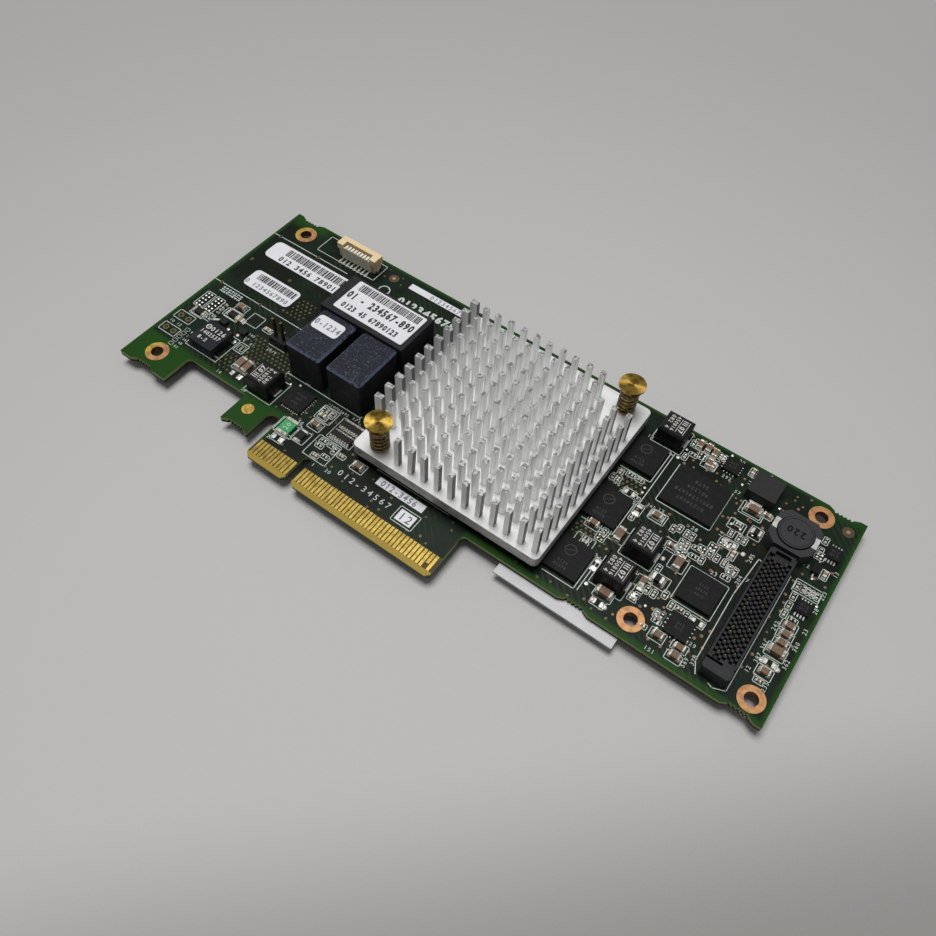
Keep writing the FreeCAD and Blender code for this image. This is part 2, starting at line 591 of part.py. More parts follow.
def buildPlungers():
    """Brass push pins: a dished flat head, a shank through heatsink and board, and a barbed tip."""
    headBottom = f"({boardTop} + sheet.plunger_top - sheet.plunger_head_rim - sheet.plunger_head_cone)"
    for name, (x, y) in plungers.items():
        rim = cylinder("head_rim_" + name, "sheet.plunger_head_radius", "sheet.plunger_head_rim", x, y,
                       f"{headBottom} + sheet.plunger_head_cone")
        taper = cone("head_cone_" + name, "sheet.plunger_cone_radius", "sheet.plunger_head_radius",
                     "sheet.plunger_head_cone", x, y, headBottom)
        shank = cylinder("shank_" + name, "sheet.plunger_radius", f"{headBottom} - sheet.board_lift",
                         x, y, "sheet.board_lift")
        barb = cone("barb_" + name, "sheet.plunger_tip_radius", "sheet.plunger_barb_radius",
                    "sheet.board_lift", x, y, "0")
        keep(fuse("plunger_" + name, [rim, taper, shank, barb]), "push_pin_" + name)
        tall = f"({headBottom} - {sinkTop})"
        outer = cylinder("coil_" + name, "sheet.spring_radius", tall, x, y, sinkTop)
        inner = cylinder("coil_inside_" + name, "sheet.spring_radius - sheet.spring_wire",
                         f"{tall} + 2", x, y, f"{sinkTop} - 1")
        keep(cut("spring_" + name, outer, inner), "push_pin_spring_" + name)


# Double data port: a hood with two mouths towards the top edge, and a contact block behind each mouth.

portX = f"({bracketEnd} + sheet.port_x)"
portFront = f"({contactEdge} + sheet.port_y)"
mouthLength = "((sheet.port_length - 2 * sheet.port_side_wall - sheet.port_middle_wall) / 2)"
mouthDepth = "(sheet.port_width - sheet.port_back_wall)"
tongueLength = f"({mouthLength} - 2 * sheet.port_tongue_gap)"
blockPitch = f"({mouthLength} + sheet.port_middle_wall)"
blockLength = f"({blockPitch} - sheet.block_gap)"
blockXs = [f"({portX} - {blockPitch} / 2)", f"({portX} + {blockPitch} / 2)"]


def buildPort():
    hood = middleBox("hood_blank", "sheet.port_length", "sheet.port_width", "sheet.port_height",
                     portX, f"({portFront} + sheet.port_width / 2)", boardTop)
    mouthY = f"({portFront} + sheet.port_back_wall)"
    mouthHeight = "sheet.port_height - sheet.port_floor - sheet.port_roof"
    mouths = [box(f"mouth_{i}", mouthLength, f"{mouthDepth} + 1", mouthHeight,
                  f"{x} - {mouthLength} / 2", mouthY, f"{boardTop} + sheet.port_floor")
              for i, x in enumerate(blockXs)]
    keep(cut("hood", hood, fuse("mouths", mouths)), "data_port_hood")
    tongues = []
    springs = []
    contactSpan = value(f"{tongueLength} - 2 * sheet.port_contact_margin - sheet.port_contact_width")
    contactCount = int(contactSpan / sheet.get("port_contact_pitch") + 1e-6) + 1
    for i, x in enumerate(blockXs):
        for level in range(2):
            rise = f"(sheet.port_tongue_rise + {level} * sheet.port_tongue_pitch)"
            low = f"({boardTop} + sheet.port_floor + {rise})"
            tongues.append(box(f"tongue_{i}_{level}", tongueLength, "sheet.port_tongue_depth",
                               "sheet.port_tongue_height", f"{x} - {tongueLength} / 2", mouthY, low))
            setBack = "sheet.port_tongue_depth - sheet.port_contact_depth - sheet.port_contact_setback"
            for number in range(contactCount):
                along = f"({x} + {number - (contactCount - 1) / 2} * sheet.port_contact_pitch)"
                springs.append(box(f"port_contact_{i}_{level}_{number}", "sheet.port_contact_width",
                                   "sheet.port_contact_depth", "sheet.port_contact_thickness",
                                   f"{along} - sheet.port_contact_width / 2", f"{mouthY} + {setBack}",
                                   f"{low} + sheet.port_tongue_height"))
    keep(group("tongues", tongues), "data_port_tongues")
    keep(group("port_contacts", springs), "data_port_contacts")
    tails = []
    for i, (side, x) in enumerate(zip(["left", "right"], blockXs)):
        middleY = f"({portFront} - sheet.block_width / 2)"
        keep(bevelledBlock("block_" + side, blockLength, "sheet.block_width",
                           "sheet.block_height", "sheet.block_bevel", x, middleY, boardTop),
             "data_port_block_" + side)
        for column in range(6):
            for row in range(5):
                tails.append(middleBox(f"tail_{i}_{column}_{row}", "sheet.block_tail_side",
                                       "sheet.block_tail_side", "sheet.board_lift",
                                       f"({x} + {column - 2.5} * sheet.block_tail_pitch_x)",
                                       f"({middleY} + {row - 2} * sheet.block_tail_pitch_y)", "0"))
    keep(group("tails", tails), "data_port_tails")


# Small connectors.

def buildFanHeader():
    """A white eight-way wire header: an open-topped shell with a window, pins and surface leads."""
    x = f"({bracketEnd} + sheet.fan_header_x)"
    y = f"({topEdge} - sheet.fan_header_y)"
    shell = middleBox("header_blank", "sheet.fan_header_length", "sheet.fan_header_width",
                      "sheet.fan_header_height", x, y, boardTop)
    inside = middleBox("header_inside", "sheet.fan_header_length - 2 * sheet.fan_header_wall",
                       "sheet.fan_header_width - 2 * sheet.fan_header_wall", "sheet.fan_header_height",
                       x, y, f"{boardTop} + sheet.fan_header_floor")
    window = middleBox("header_window", "sheet.fan_header_window_length", "2 * sheet.fan_header_wall",
                       "sheet.fan_header_window_height + 1", x,
                       f"({y} - sheet.fan_header_width / 2)",
                       f"{boardTop} + sheet.fan_header_height - sheet.fan_header_window_height")
    keep(cut("header_shell", shell, fuse("header_hollow", [inside, window])), "fan_header_housing")
    pins = []
    for number in range(8):
        pinX = f"({x} + {number - 3.5} * sheet.fan_header_pitch)"
        pins.append(middleBox(f"header_pin_{number}", "sheet.fan_header_pin_side",
                              "sheet.fan_header_pin_side",
                              "sheet.fan_header_pin_height - sheet.fan_header_floor", pinX, y,
                              f"{boardTop} + sheet.fan_header_floor"))
        pins.append(box(f"header_lead_{number}", "sheet.fan_header_pin_side",
                        "sheet.fan_header_lead_length", "sheet.fan_header_lead_thickness",
                        f"{pinX} - sheet.fan_header_pin_side / 2",
                        f"{y} - sheet.fan_header_width / 2 - sheet.fan_header_lead_length", boardTop))
    keep(group("header_pins", pins), "fan_header_pins")


def buildJumper():
    """A two-pin header: a black base, two square pins and their tails under the board."""
    x = f"({bracketEnd} + sheet.jumper_x)"
    y = f"({contactEdge} + sheet.jumper_y)"
    pinXs = [f"({x} - sheet.jumper_pitch / 2)", f"({x} + sheet.jumper_pitch / 2)"]
    base = middleBox("jumper_blank", "2 * sheet.jumper_pitch", "sheet.jumper_pitch", "sheet.jumper_base",
                     x, y, boardTop)
    holes = [middleBox(f"jumper_hole_{i}", "sheet.jumper_pin_side", "sheet.jumper_pin_side",
                       "sheet.jumper_base + 2", pinX, y, f"{boardTop} - 1")
             for i, pinX in enumerate(pinXs)]
    keep(cut("jumper_body", base, fuse("jumper_holes", holes)), "jumper_header_base")
    pins = []
    for i, pinX in enumerate(pinXs):
        pins.append(middleBox(f"jumper_pin_{i}", "sheet.jumper_pin_side", "sheet.jumper_pin_side",
                              "sheet.jumper_pin_height", pinX, y, boardTop))
        pins.append(middleBox(f"jumper_tail_{i}", "sheet.jumper_pin_side", "sheet.jumper_pin_side",
                              "sheet.board_lift", pinX, y, "0"))
    keep(group("jumper_pins", pins), "jumper_header_pins")


def buildSocket():
    """A black board-to-board socket: a well full of small blades, keyed at its ends."""
    x = f"({farEnd} - sheet.socket_x)"
    y = f"({contactEdge} + sheet.socket_y)"
    block = bevelledBlock("socket_block", "sheet.socket_length", "sheet.socket_width",
                          "sheet.socket_height", "sheet.socket_bevel", x, y, boardTop)
    wellFloor = f"({boardTop} + sheet.socket_height - sheet.socket_well_depth)"
    wellLength = "(sheet.socket_length - 2 * sheet.socket_wall)"
    wellWidth = "(sheet.socket_width - 2 * sheet.socket_end_wall)"
    well = middleBox("socket_well", wellLength, wellWidth, "sheet.socket_height", x, y, wellFloor)
    keep(cut("socket_body", block, well), "mezzanine_socket")
    blades = []
    columnSpan = f"{wellLength} - 2 * sheet.socket_blade_margin - sheet.socket_blade_length"
    rowSpan = f"{wellWidth} - 2 * sheet.socket_row_margin - sheet.socket_blade_width"
    columns = int(value(f"({columnSpan}) / sheet.socket_column_pitch") + 1e-6) + 1
    rows = int(value(f"({rowSpan}) / sheet.socket_row_pitch") + 1e-6) + 1
    for column in range(columns):
        for row in range(rows):
            away = f"{column - (columns - 1) / 2} * sheet.socket_column_pitch"
            along = f"{row - (rows - 1) / 2} * sheet.socket_row_pitch"
            blades.append(middleBox(f"blade_{column}_{row}", "sheet.socket_blade_length",
                                    "sheet.socket_blade_width", "sheet.socket_blade_height",
                                    f"({x} + {away})", f"({y} + {along})", wellFloor))
    keep(group("blades", blades), "mezzanine_contacts")


# Coils.

def buildDrumInductor():
    """A shielded power inductor: an eight-sided ferrite ring round a drum, with two plated clips."""
    x = f"({farEnd} - sheet.drum_x)"
    y = f"({contactEdge} + sheet.drum_y)"
    square = middleBox("core_square", "sheet.drum_side", "sheet.drum_side", "sheet.drum_height", x, y,
                       boardTop)
    turned = doc.addObject("Part::Box", "core_turned")
    bind(turned, {"Length": "sheet.drum_diagonal", "Width": "sheet.drum_diagonal",
                  "Height": "sheet.drum_height"})
    turned.Placement.Rotation = FreeCAD.Rotation(FreeCAD.Vector(0, 0, 1), 45)
    place(turned, x, f"{y} - sheet.drum_diagonal / sqrt(2)", boardTop)
    eightSided = doc.addObject("Part::MultiCommon", "core_outline")
    eightSided.Shapes = [square, turned]
    bore = cylinder("core_bore", "sheet.drum_bore", "sheet.drum_height + 2", x, y, f"{boardTop} - 1")
    keep(cut("core_ring", eightSided, bore), "power_inductor_core")
    waistHigh = "(sheet.drum_height + sheet.drum_proud)"
    waist = cylinder("drum_waist", "sheet.drum_waist", waistHigh, x, y, boardTop)
    radius = "sheet.drum_bore - sheet.drum_gap"
    lower = cylinder("drum_lower", radius, "sheet.drum_flange", x, y, boardTop)
    upper = cylinder("drum_upper", radius, "sheet.drum_flange", x, y,
                     f"{boardTop} + {waistHigh} - sheet.drum_flange")
    keep(fuse("drum", [waist, lower, upper]), "power_inductor_drum")
    clips = []
    for side in (-1, 1):
        face = f"({x} + {side} * sheet.drum_side / 2)"
        outward = f"{face} {'- sheet.drum_clip_thickness' if side < 0 else ''}"
        inward = f"{face} {'' if side < 0 else '- sheet.drum_clip_reach'}"
        leg = box(f"clip_leg_{side + 1}", "sheet.drum_clip_thickness", "sheet.drum_clip_width",
                  "sheet.drum_height + sheet.drum_clip_thickness", outward,
                  f"{y} - sheet.drum_clip_width / 2", boardTop)
        flap = box(f"clip_flap_{side + 1}", "sheet.drum_clip_reach", "sheet.drum_clip_width",
                   "sheet.drum_clip_thickness", inward, f"{y} - sheet.drum_clip_width / 2",
                   f"{boardTop} + sheet.drum_height")
        clips.append(fuse(f"clip_{side + 1}", [leg, flap]))
    bore = cylinder("clip_bore", "sheet.drum_bore", "sheet.drum_height + 5", x, y, boardTop)
    keep(group("clips", [cut(f"clip_cut_{i}", clip, bore) for i, clip in enumerate(clips)]),
         "power_inductor_clips")


chokePlaces = {
    "bracket": (f"({bracketEnd} + sheet.choke_bracket_x)", f"({contactEdge} + sheet.choke_bracket_y)"),
    "top": (f"({farEnd} - sheet.choke_top_x)", f"({topEdge} - sheet.choke_top_y)"),
    "middle": (f"({farEnd} - sheet.choke_middle_x)", f"({contactEdge} + sheet.choke_middle_y)"),
    "foot": (f"({farEnd} - sheet.choke_foot_x)", f"({contactEdge} + sheet.choke_foot_y)"),
}


def buildChokes():
    """Moulded chokes: bevelled black blocks with a flat plated foot bent up each end."""
    feet = []
    for name, (x, y) in chokePlaces.items():
        keep(bevelledBlock("choke_" + name, "sheet.choke_length", "sheet.choke_width",
                           "sheet.choke_height", "sheet.choke_bevel", x, y, boardTop), "choke_" + name)
        for side in (-1, 1):
            face = f"({x} + {side} * sheet.choke_length / 2)"
            low = face if side > 0 else f"{face} - sheet.choke_foot_length"
            feet.append(box(f"choke_foot_{name}_{side + 1}", "sheet.choke_foot_length",
                            "sheet.choke_foot_width", "sheet.choke_foot_height", low,
                            f"{y} - sheet.choke_foot_width / 2", boardTop))
    keep(group("choke_feet", feet), "choke_terminals")


# Chips and other plain bodies.

def middleOf(name):
    """The middle in plan of a part whose place is in the sheet, from the edges it is measured from."""
    x = f"({bracketEnd if sheet.get(name + '_x') > 0 else farEnd} + sheet.{name}_x)"
    y = f"({contactEdge if sheet.get(name + '_y') > 0 else topEdge} + sheet.{name}_y)"
    return x, y


def plainBlock(name):
    x, y = middleOf(name)
    return middleBox(name + "_block", f"sheet.{name}_length", f"sheet.{name}_width",
                     f"sheet.{name}_height", x, y, boardTop)


def gullwings(name, count, pitch, alongX):
    """Short flat leads on two opposite sides of a body."""
    middleX, middleY = middleOf(name)
    leads = []
    for side in (-1, 1):
        across = "width" if alongX else "length"
        away = f"{side} * (sheet.{name}_{across} + sheet.part_gullwing) / 2"
        for number in range(count):
            shift = f"{number - (count - 1) / 2} * {pitch}"
            if alongX:
                lead = middleBox(f"{name}_lead_{side + 1}_{number}", "sheet.part_foot_width",
                                 "sheet.part_gullwing", "sheet.part_foot_height",
                                 f"({middleX} + {shift})", f"({middleY} + {away})", boardTop)
            else:
                lead = middleBox(f"{name}_lead_{side + 1}_{number}", "sheet.part_gullwing",
                                 "sheet.part_foot_width", "sheet.part_foot_height",
                                 f"({middleX} + {away})", f"({middleY} + {shift})", boardTop)
            leads.append(lead)
    return leads


def buildChips():
    shared = {"regulator_chips": ["regulator_chip_far", "regulator_chip_top"],
              "eight_lead_chips": ["eight_lead_chip_top", "eight_lead_chip_foot"]}
    grouped = sum(shared.values(), [])
    for name in chips:
        if name not in grouped:
            keep(plainBlock(name), name)
    for node, names in shared.items():
        keep(group(node, [plainBlock(name) for name in names]), node)
    leads = gullwings("line_transformer", 2, 5.8, False)
    leads += gullwings("eight_lead_chip_top", 4, 0.65, True)
    leads += gullwings("eight_lead_chip_foot", 4, 0.65, True)
    leads += gullwings("transistor", 1, 1, True)
    keep(group("leads", leads), "chip_leads")


# Two-ended ceramic parts.

def twoEnded(name, size, turned):
    """The body and the two end caps of a ceramic part, lying along X or turned along Y."""
    middleX, middleY = middleOf(name)
    length, width, height, cap = (f"sheet.{size}_{word}" for word in ("length", "width", "height", "cap"))
    inner = f"({length} - 2 * {cap})"
    away = f"({length} - {cap}) / 2"
    if turned:
        body = middleBox(name + "_body", width, inner, height, middleX, middleY, boardTop)
        caps = [middleBox(f"{name}_cap_{i}", width, cap, height, middleX, f"({middleY} + {s} * {away})",
                          boardTop) for i, s in enumerate((-1, 1))]
    else:
        body = middleBox(name + "_body", inner, width, height, middleX, middleY, boardTop)
        caps = [middleBox(f"{name}_cap_{i}", cap, width, height, f"({middleX} + {s} * {away})", middleY,
                          boardTop) for i, s in enumerate((-1, 1))]
    return body, caps


def buildSmallParts():
    """Ceramic parts, resistor arrays and the flat fuse, with all their plated ends as one sub-part."""
    ends = []
    for kind, places in (("capacitor", capacitors), ("resistor", resistors)):
        bodies = []
        for index, (size, _, _, turned) in enumerate(places, 1):
            body, caps = twoEnded(f"{kind}_{index}", size, turned)
            bodies.append(body)
            ends += caps
        keep(group(kind + "_bodies", bodies), f"ceramic_{kind}s")
    x = f"({bracketEnd} + sheet.array_x)"
    arrays = []
    for row in range(2):
        y = f"({contactEdge} + sheet.array_y - {row} * sheet.array_pitch)"
        arrays.append(middleBox(f"array_{row}", "sheet.array_length", "sheet.array_width",
                                "sheet.array_height", x, y, boardTop))
        for side in (-1, 1):
            for number in range(8):
                away = f"{side} * (sheet.array_width + sheet.array_foot_side) / 2"
                ends.append(middleBox(f"array_foot_{row}_{side + 1}_{number}", "sheet.array_foot_side",
                                      "sheet.array_foot_side", "sheet.array_height",
                                      f"({x} + {number - 3.5} * sheet.array_foot_pitch)",
                                      f"({y} + {away})", boardTop))
    keep(group("arrays", arrays), "resistor_arrays")
    fuseX, fuseY = middleOf("fuse")
    keep(middleBox("fuse_body", "sheet.fuse_length", "sheet.fuse_width - 2 * sheet.fuse_cap",
                   "sheet.fuse_height", fuseX, fuseY, boardTop), "resettable_fuse")
    for side in (-1, 1):
        away = f"{side} * (sheet.fuse_width - sheet.fuse_cap) / 2"
        ends.append(middleBox(f"fuse_cap_{side + 1}", "sheet.fuse_length", "sheet.fuse_cap",
                              "sheet.fuse_height", fuseX, f"({fuseY} + {away})", boardTop))
    keep(group("plated_ends", ends), "plated_ends")


# Paper labels.

def label(name, x, y, level):
    keep(middleBox(name + "_sheet", f"sheet.{name}_length", f"sheet.{name}_width",
                   "sheet.label_thickness", x, y, level), name)


def buildLabels():
    for name in boardLabels:
        x, y = middleOf(name)
        under = "sheet.board_lift - sheet.label_thickness"
        label(name, x, y, under if name == "underside_label" else boardTop)
    label("port_label", f"({portX} + sheet.port_label_x)", f"({portFront} + sheet.port_label_y)",
          f"{boardTop} + sheet.port_height")
    label("block_label", f"({blockXs[0]} - sheet.block_label_x)", f"({portFront} - sheet.block_label_y)",
          f"{boardTop} + sheet.block_height")


buildBoard()
buildContacts()
buildHoleRings()
buildMarks()
buildController()
buildHeatsink()
buildPlungers()
buildPort()
buildFanHeader()
buildJumper()
buildSocket()
buildDrumInductor()
buildChokes()
buildChips()
buildSmallParts()
buildLabels()
doc.recompute()

for obj in doc.Objects:
    if "Invalid" in obj.State or "Error" in obj.State:
        raise RuntimeError(f"{obj.Name} did not build: {obj.State}")
for obj in kept:
    if obj.Shape.isNull() or not obj.Shape.isValid() or not obj.Shape.Solids:
        raise RuntimeError(f"{obj.Label} has no valid solid")

os.makedirs("parts", exist_ok=True)
for obj in kept:
    obj.Shape.exportStep(os.path.join("parts", obj.Label + ".step"))
print(len(kept), "sub-parts written")
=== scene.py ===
import math
import random

import bpy
from mathutils import Matrix, Vector


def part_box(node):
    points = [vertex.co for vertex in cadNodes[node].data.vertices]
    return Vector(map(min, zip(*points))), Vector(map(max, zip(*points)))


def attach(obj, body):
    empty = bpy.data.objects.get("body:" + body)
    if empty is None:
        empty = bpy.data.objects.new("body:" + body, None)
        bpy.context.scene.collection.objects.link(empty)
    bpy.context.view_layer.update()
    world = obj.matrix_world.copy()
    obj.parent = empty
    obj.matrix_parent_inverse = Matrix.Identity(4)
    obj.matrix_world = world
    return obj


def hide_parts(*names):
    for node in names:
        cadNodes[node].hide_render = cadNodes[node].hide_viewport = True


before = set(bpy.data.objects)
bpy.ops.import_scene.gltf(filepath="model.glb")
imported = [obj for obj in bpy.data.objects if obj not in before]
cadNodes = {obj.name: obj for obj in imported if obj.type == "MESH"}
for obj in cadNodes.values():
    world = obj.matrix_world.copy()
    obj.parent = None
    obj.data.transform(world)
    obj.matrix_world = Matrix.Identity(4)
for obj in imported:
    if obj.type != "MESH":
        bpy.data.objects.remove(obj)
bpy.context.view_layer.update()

mm = 0.001


def span(node):  # the box of a CAD node in millimetres
    low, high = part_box(node)
    return [value / mm for value in low], [value / mm for value in high]


def islands(node):  # the boxes of the separate solids in a CAD node, in millimetres
    mesh = cadNodes[node].data
    keys = [tuple(round(value * 1e5) for value in vertex.co) for vertex in mesh.vertices]
    parent = {key: key for key in keys}

    def root(key):
        while parent[key] != key:
            parent[key] = parent[parent[key]]
            key = parent[key]
        return key

    for edge in mesh.edges:
        parent[root(keys[edge.vertices[0]])] = root(keys[edge.vertices[1]])
    boxes = {}
    for vertex, key in zip(mesh.vertices, keys):
        point = [value / mm for value in vertex.co]
        low, high = boxes.setdefault(root(key), (list(point), list(point)))
        for i in range(3):
            low[i] = min(low[i], point[i])
            high[i] = max(high[i], point[i])
    return sorted(boxes.values())


def middle(low, high):  # the middle of a box in plan
    return (low[0] + high[0]) / 2, (low[1] + high[1]) / 2


def onTop(low, high):  # the middle of a box's upper face
    return *middle(low, high), high[2]


boardLow, boardHigh = span("circuit_board")
top = boardHigh[2]  # upper face of the board, which every flat mark lies on
sunk = 0.02  # how deep a flat mark is bedded in the face below it
heatsinkBaseMm = 3.1  # thickness of the plate that the heatsink's pins stand on
chokes = ("choke_bracket", "choke_top", "choke_middle", "choke_foot")
memoryChips = ("memory_chip_top", "memory_chip_middle", "memory_chip_foot")


def linear(colour, alpha=1.0):  # a linear colour from its sRGB hex value
    channels = [int(colour[i:i + 2], 16) / 255 for i in (1, 3, 5)]
    return [c / 12.92 if c <= 0.04045 else ((c + 0.055) / 1.055) ** 2.4 for c in channels] + [alpha]


def addNode(tree, kind, inputs, **settings):
    # inputs by place in a list, or by name; each is a number, a hex colour or the output that feeds it
    node = tree.nodes.new("ShaderNode" + kind)
    for name, value in settings.items():
        setattr(node, name, value)
    sockets = [socket for socket in node.inputs if socket.enabled]
    for key, value in (inputs.items() if isinstance(inputs, dict) else enumerate(inputs)):
        socket = sockets[key] if isinstance(key, int) else next(s for s in sockets if s.name == key)
        if isinstance(value, bpy.types.NodeSocket):
            tree.links.new(value, socket)
        else:
            socket.default_value = linear(value) if isinstance(value, str) else value
    return next(socket for socket in node.outputs if socket.enabled)


smooth = {"interpolation_type": "SMOOTHSTEP"}
colours = {"data_type": "RGBA"}


def newMaterial(name, colour, roughness, metallic=0.0, **more):
    # gives the material, its nodes, its shader and the place along the object's own axes, in millimetres
    material = bpy.data.materials.new(name)
    material.use_nodes = True
    tree = material.node_tree
    shader = tree.nodes["Principled BSDF"]
    shader.inputs["Base Color"].default_value = linear(colour)
    shader.inputs["Roughness"].default_value = roughness
    shader.inputs["Metallic"].default_value = metallic
    for key, value in more.items():
        shader.inputs[key.replace("_", " ")].default_value = value
    material.diffuse_color = linear(colour)
    place = addNode(tree, "TexCoord", []).node.outputs["Object"]
    return material, tree, shader, addNode(tree, "VectorMath", [place, 1 / mm], operation="SCALE")


def cloud(tree, place, sizeMm, detail=2.0, low=0.35, high=0.7):  # 0 to 1 in lumps about sizeMm across
    noise = addNode(tree, "TexNoise", {"Vector": place, "Scale": 1 / sizeMm, "Detail": detail})
    return addNode(tree, "MapRange", [noise, low, high], **smooth)


def roughen(tree, shader, height, depthMm, strength=0.5):  # relief in the shine, from a height of 0 to 1
    relief = addNode(tree, "Bump", {"Strength": strength, "Distance": depthMm * mm, "Height": height})
    tree.links.new(relief, shader.inputs["Normal"])


def within(tree, x, y, box, soft):  # 1 inside a rectangle in plan, fading out across soft mm
    inside = None
    for value, low, high in ((x, box[0] - soft, box[0] + soft), (x, box[1] + soft, box[1] - soft),
                             (y, box[2] - soft, box[2] + soft), (y, box[3] + soft, box[3] - soft)):
        side = addNode(tree, "MapRange", [value, low, high], **smooth)
        inside = side if inside is None else addNode(tree, "Math", [inside, side], operation="MULTIPLY")
    return inside


def facing(tree, axis="Z"):  # how far the surface's own normal points along an axis, -1 to 1
    normal = addNode(tree, "TexCoord", []).node.outputs["Normal"]
    return addNode(tree, "SeparateXYZ", [normal]).node.outputs[axis]


def paint(tree, shader, share, first, second):  # two colours, shared out by a pattern of 0 to 1
    tree.links.new(addNode(tree, "Mix", [share, first, second], **colours), shader.inputs["Base Color"])


def solderMask():
    # epoxy solder mask screened over copper on glass laminate: dark and glossy where copper lies under
    # it, clear bottle green along the edges and on the tabs, where only laminate does
    looks = {"overCopper": "#091209", "overCopperLight": "#0E1F14", "overTracks": "#1A2A18",
             "brown": "#1E1A10", "clear": "#183F0C", "rimPaintedLight": "#7D8C50", "rimPaintedShade": "#1B1A10",
             "bareTongue": "#4B3F22", "bevel": "#A38A3D", "borderMm": 0.8, "trackPitchMm": 0.9,
             "tongueMm": (-38.6, 13.6), "recessMm": 13.9, "contactMm": 5.35}
    material, tree, shader, place = newMaterial("solderMask", looks["overCopper"], 0.4,
                                                Specular_IOR_Level=0.12)
    x = addNode(tree, "SeparateXYZ", [place])
    y, z = x.node.outputs["Y"], x.node.outputs["Z"]
    flat = facing(tree)
    mask = addNode(tree, "Mix", [cloud(tree, place, 9.0, 3.0, 0.42, 0.62), looks["overCopper"],
                                 looks["overCopperLight"]], **colours)
    blots, patches = cloud(tree, place, 1.1, 3.0, 0.5, 0.68), cloud(tree, place, 7.0, 2.0, 0.46, 0.56)
    mottle = addNode(tree, "Math", [blots, patches], operation="MULTIPLY")
    mask = addNode(tree, "Mix", [mottle, mask, looks["brown"]], **colours)
    waveMm = 0.314  # what a wave texture of scale 1 repeats at
    ripple = {"Vector": place, "Scale": waveMm / looks["trackPitchMm"], "Distortion": 1.5, "Detail": 0.0,
              "Detail Scale": 0.15}
    waves = addNode(tree, "TexWave", ripple, bands_direction="DIAGONAL").node.outputs["Fac"]
    waves = addNode(tree, "MapRange", [waves, 0.62, 0.78], **smooth)
    tracks = addNode(tree, "Math", [waves, cloud(tree, place, 14.0, 2.0, 0.5, 0.56)], operation="MULTIPLY")
    mask = addNode(tree, "Mix", [tracks, mask, looks["overTracks"]], **colours)
    left, right, low, high = boardLow[0], boardHigh[0], boardLow[1], boardHigh[1]
    past, rim = 5, looks["borderMm"]
    west, east, south, north = left - past, right + past, low - past, high + past
    tongue, recess = looks["tongueMm"], low + looks["recessMm"]
    clear = 0.0
    for area, fade in (((west, left + rim, south, north), 0.5),
                       ((right - rim, east, south, north), 0.6),
                       ((west, east, high - 0.7, north), 0.4),
                       ((west, tongue[0] + 0.7, south, recess), 0.9),
                       ((tongue[1] - 0.2, east, south, recess), 0.7),
                       ((west, -72.0, high - 3.4, north), 2.2),
                       ((72.0, east, high - 2.0, north), 1.8),
                       ((west, -70.5, south, low + 7.5), 1.8)):
        clear = addNode(tree, "Math", [clear, within(tree, x, y, area, fade)], operation="MAXIMUM")
    mask = addNode(tree, "Mix", [clear, mask, looks["clear"]], **colours)
    bare = within(tree, x, y, (*tongue, south, low + looks["contactMm"]), 0.05)
    mask = addNode(tree, "Mix", [bare, mask, looks["bareTongue"]], **colours)
    nearTip = addNode(tree, "MapRange", [y, low + 1.25, low + 1.15], **smooth)
    sloping = addNode(tree, "MapRange", [flat, 0.2, 0.35], **smooth)
    bevelled = addNode(tree, "Math", [nearTip, sloping], operation="MULTIPLY")
    mask = addNode(tree, "Mix", [bevelled, mask, looks["bevel"]], **colours)
    # the sawn rim: the laminate's upper half is painted light olive, painted light for what glows through
    # it, and the lower half is painted dark, painted shade
    rimHeight = addNode(tree, "MapRange", [z, top - 0.95, top - 0.65], **smooth)
    rimColour = addNode(tree, "Mix", [rimHeight, looks["rimPaintedShade"], looks["rimPaintedLight"]], **colours)
    slope = addNode(tree, "Math", [flat], operation="ABSOLUTE")
    paint(tree, shader, addNode(tree, "MapRange", [slope, 0.15, 0.05], **smooth), mask, rimColour)
    height = addNode(tree, "Math", [cloud(tree, place, 0.5), 0.6, tracks], operation="MULTIPLY_ADD")
    roughen(tree, shader, height, 0.02)
    return material


def platedMetal(name, colour, shade, roughness, grainMm, metallic=1.0):
    # electroplated or tinned metal: even, a little cloudy, with fine handling marks in its shine
    material, tree, shader, place = newMaterial(name, colour, roughness, metallic)
    paint(tree, shader, cloud(tree, place, grainMm, 4.0), colour, shade)
    marks = cloud(tree, place, grainMm / 4, 3.0)
    rough = addNode(tree, "MapRange", {"Value": marks, "To Min": roughness * 0.85,
                                       "To Max": roughness * 1.2})
    tree.links.new(rough, shader.inputs["Roughness"])
    roughen(tree, shader, cloud(tree, place, grainMm / 3, 3.0), 0.01, 0.4)
    return material


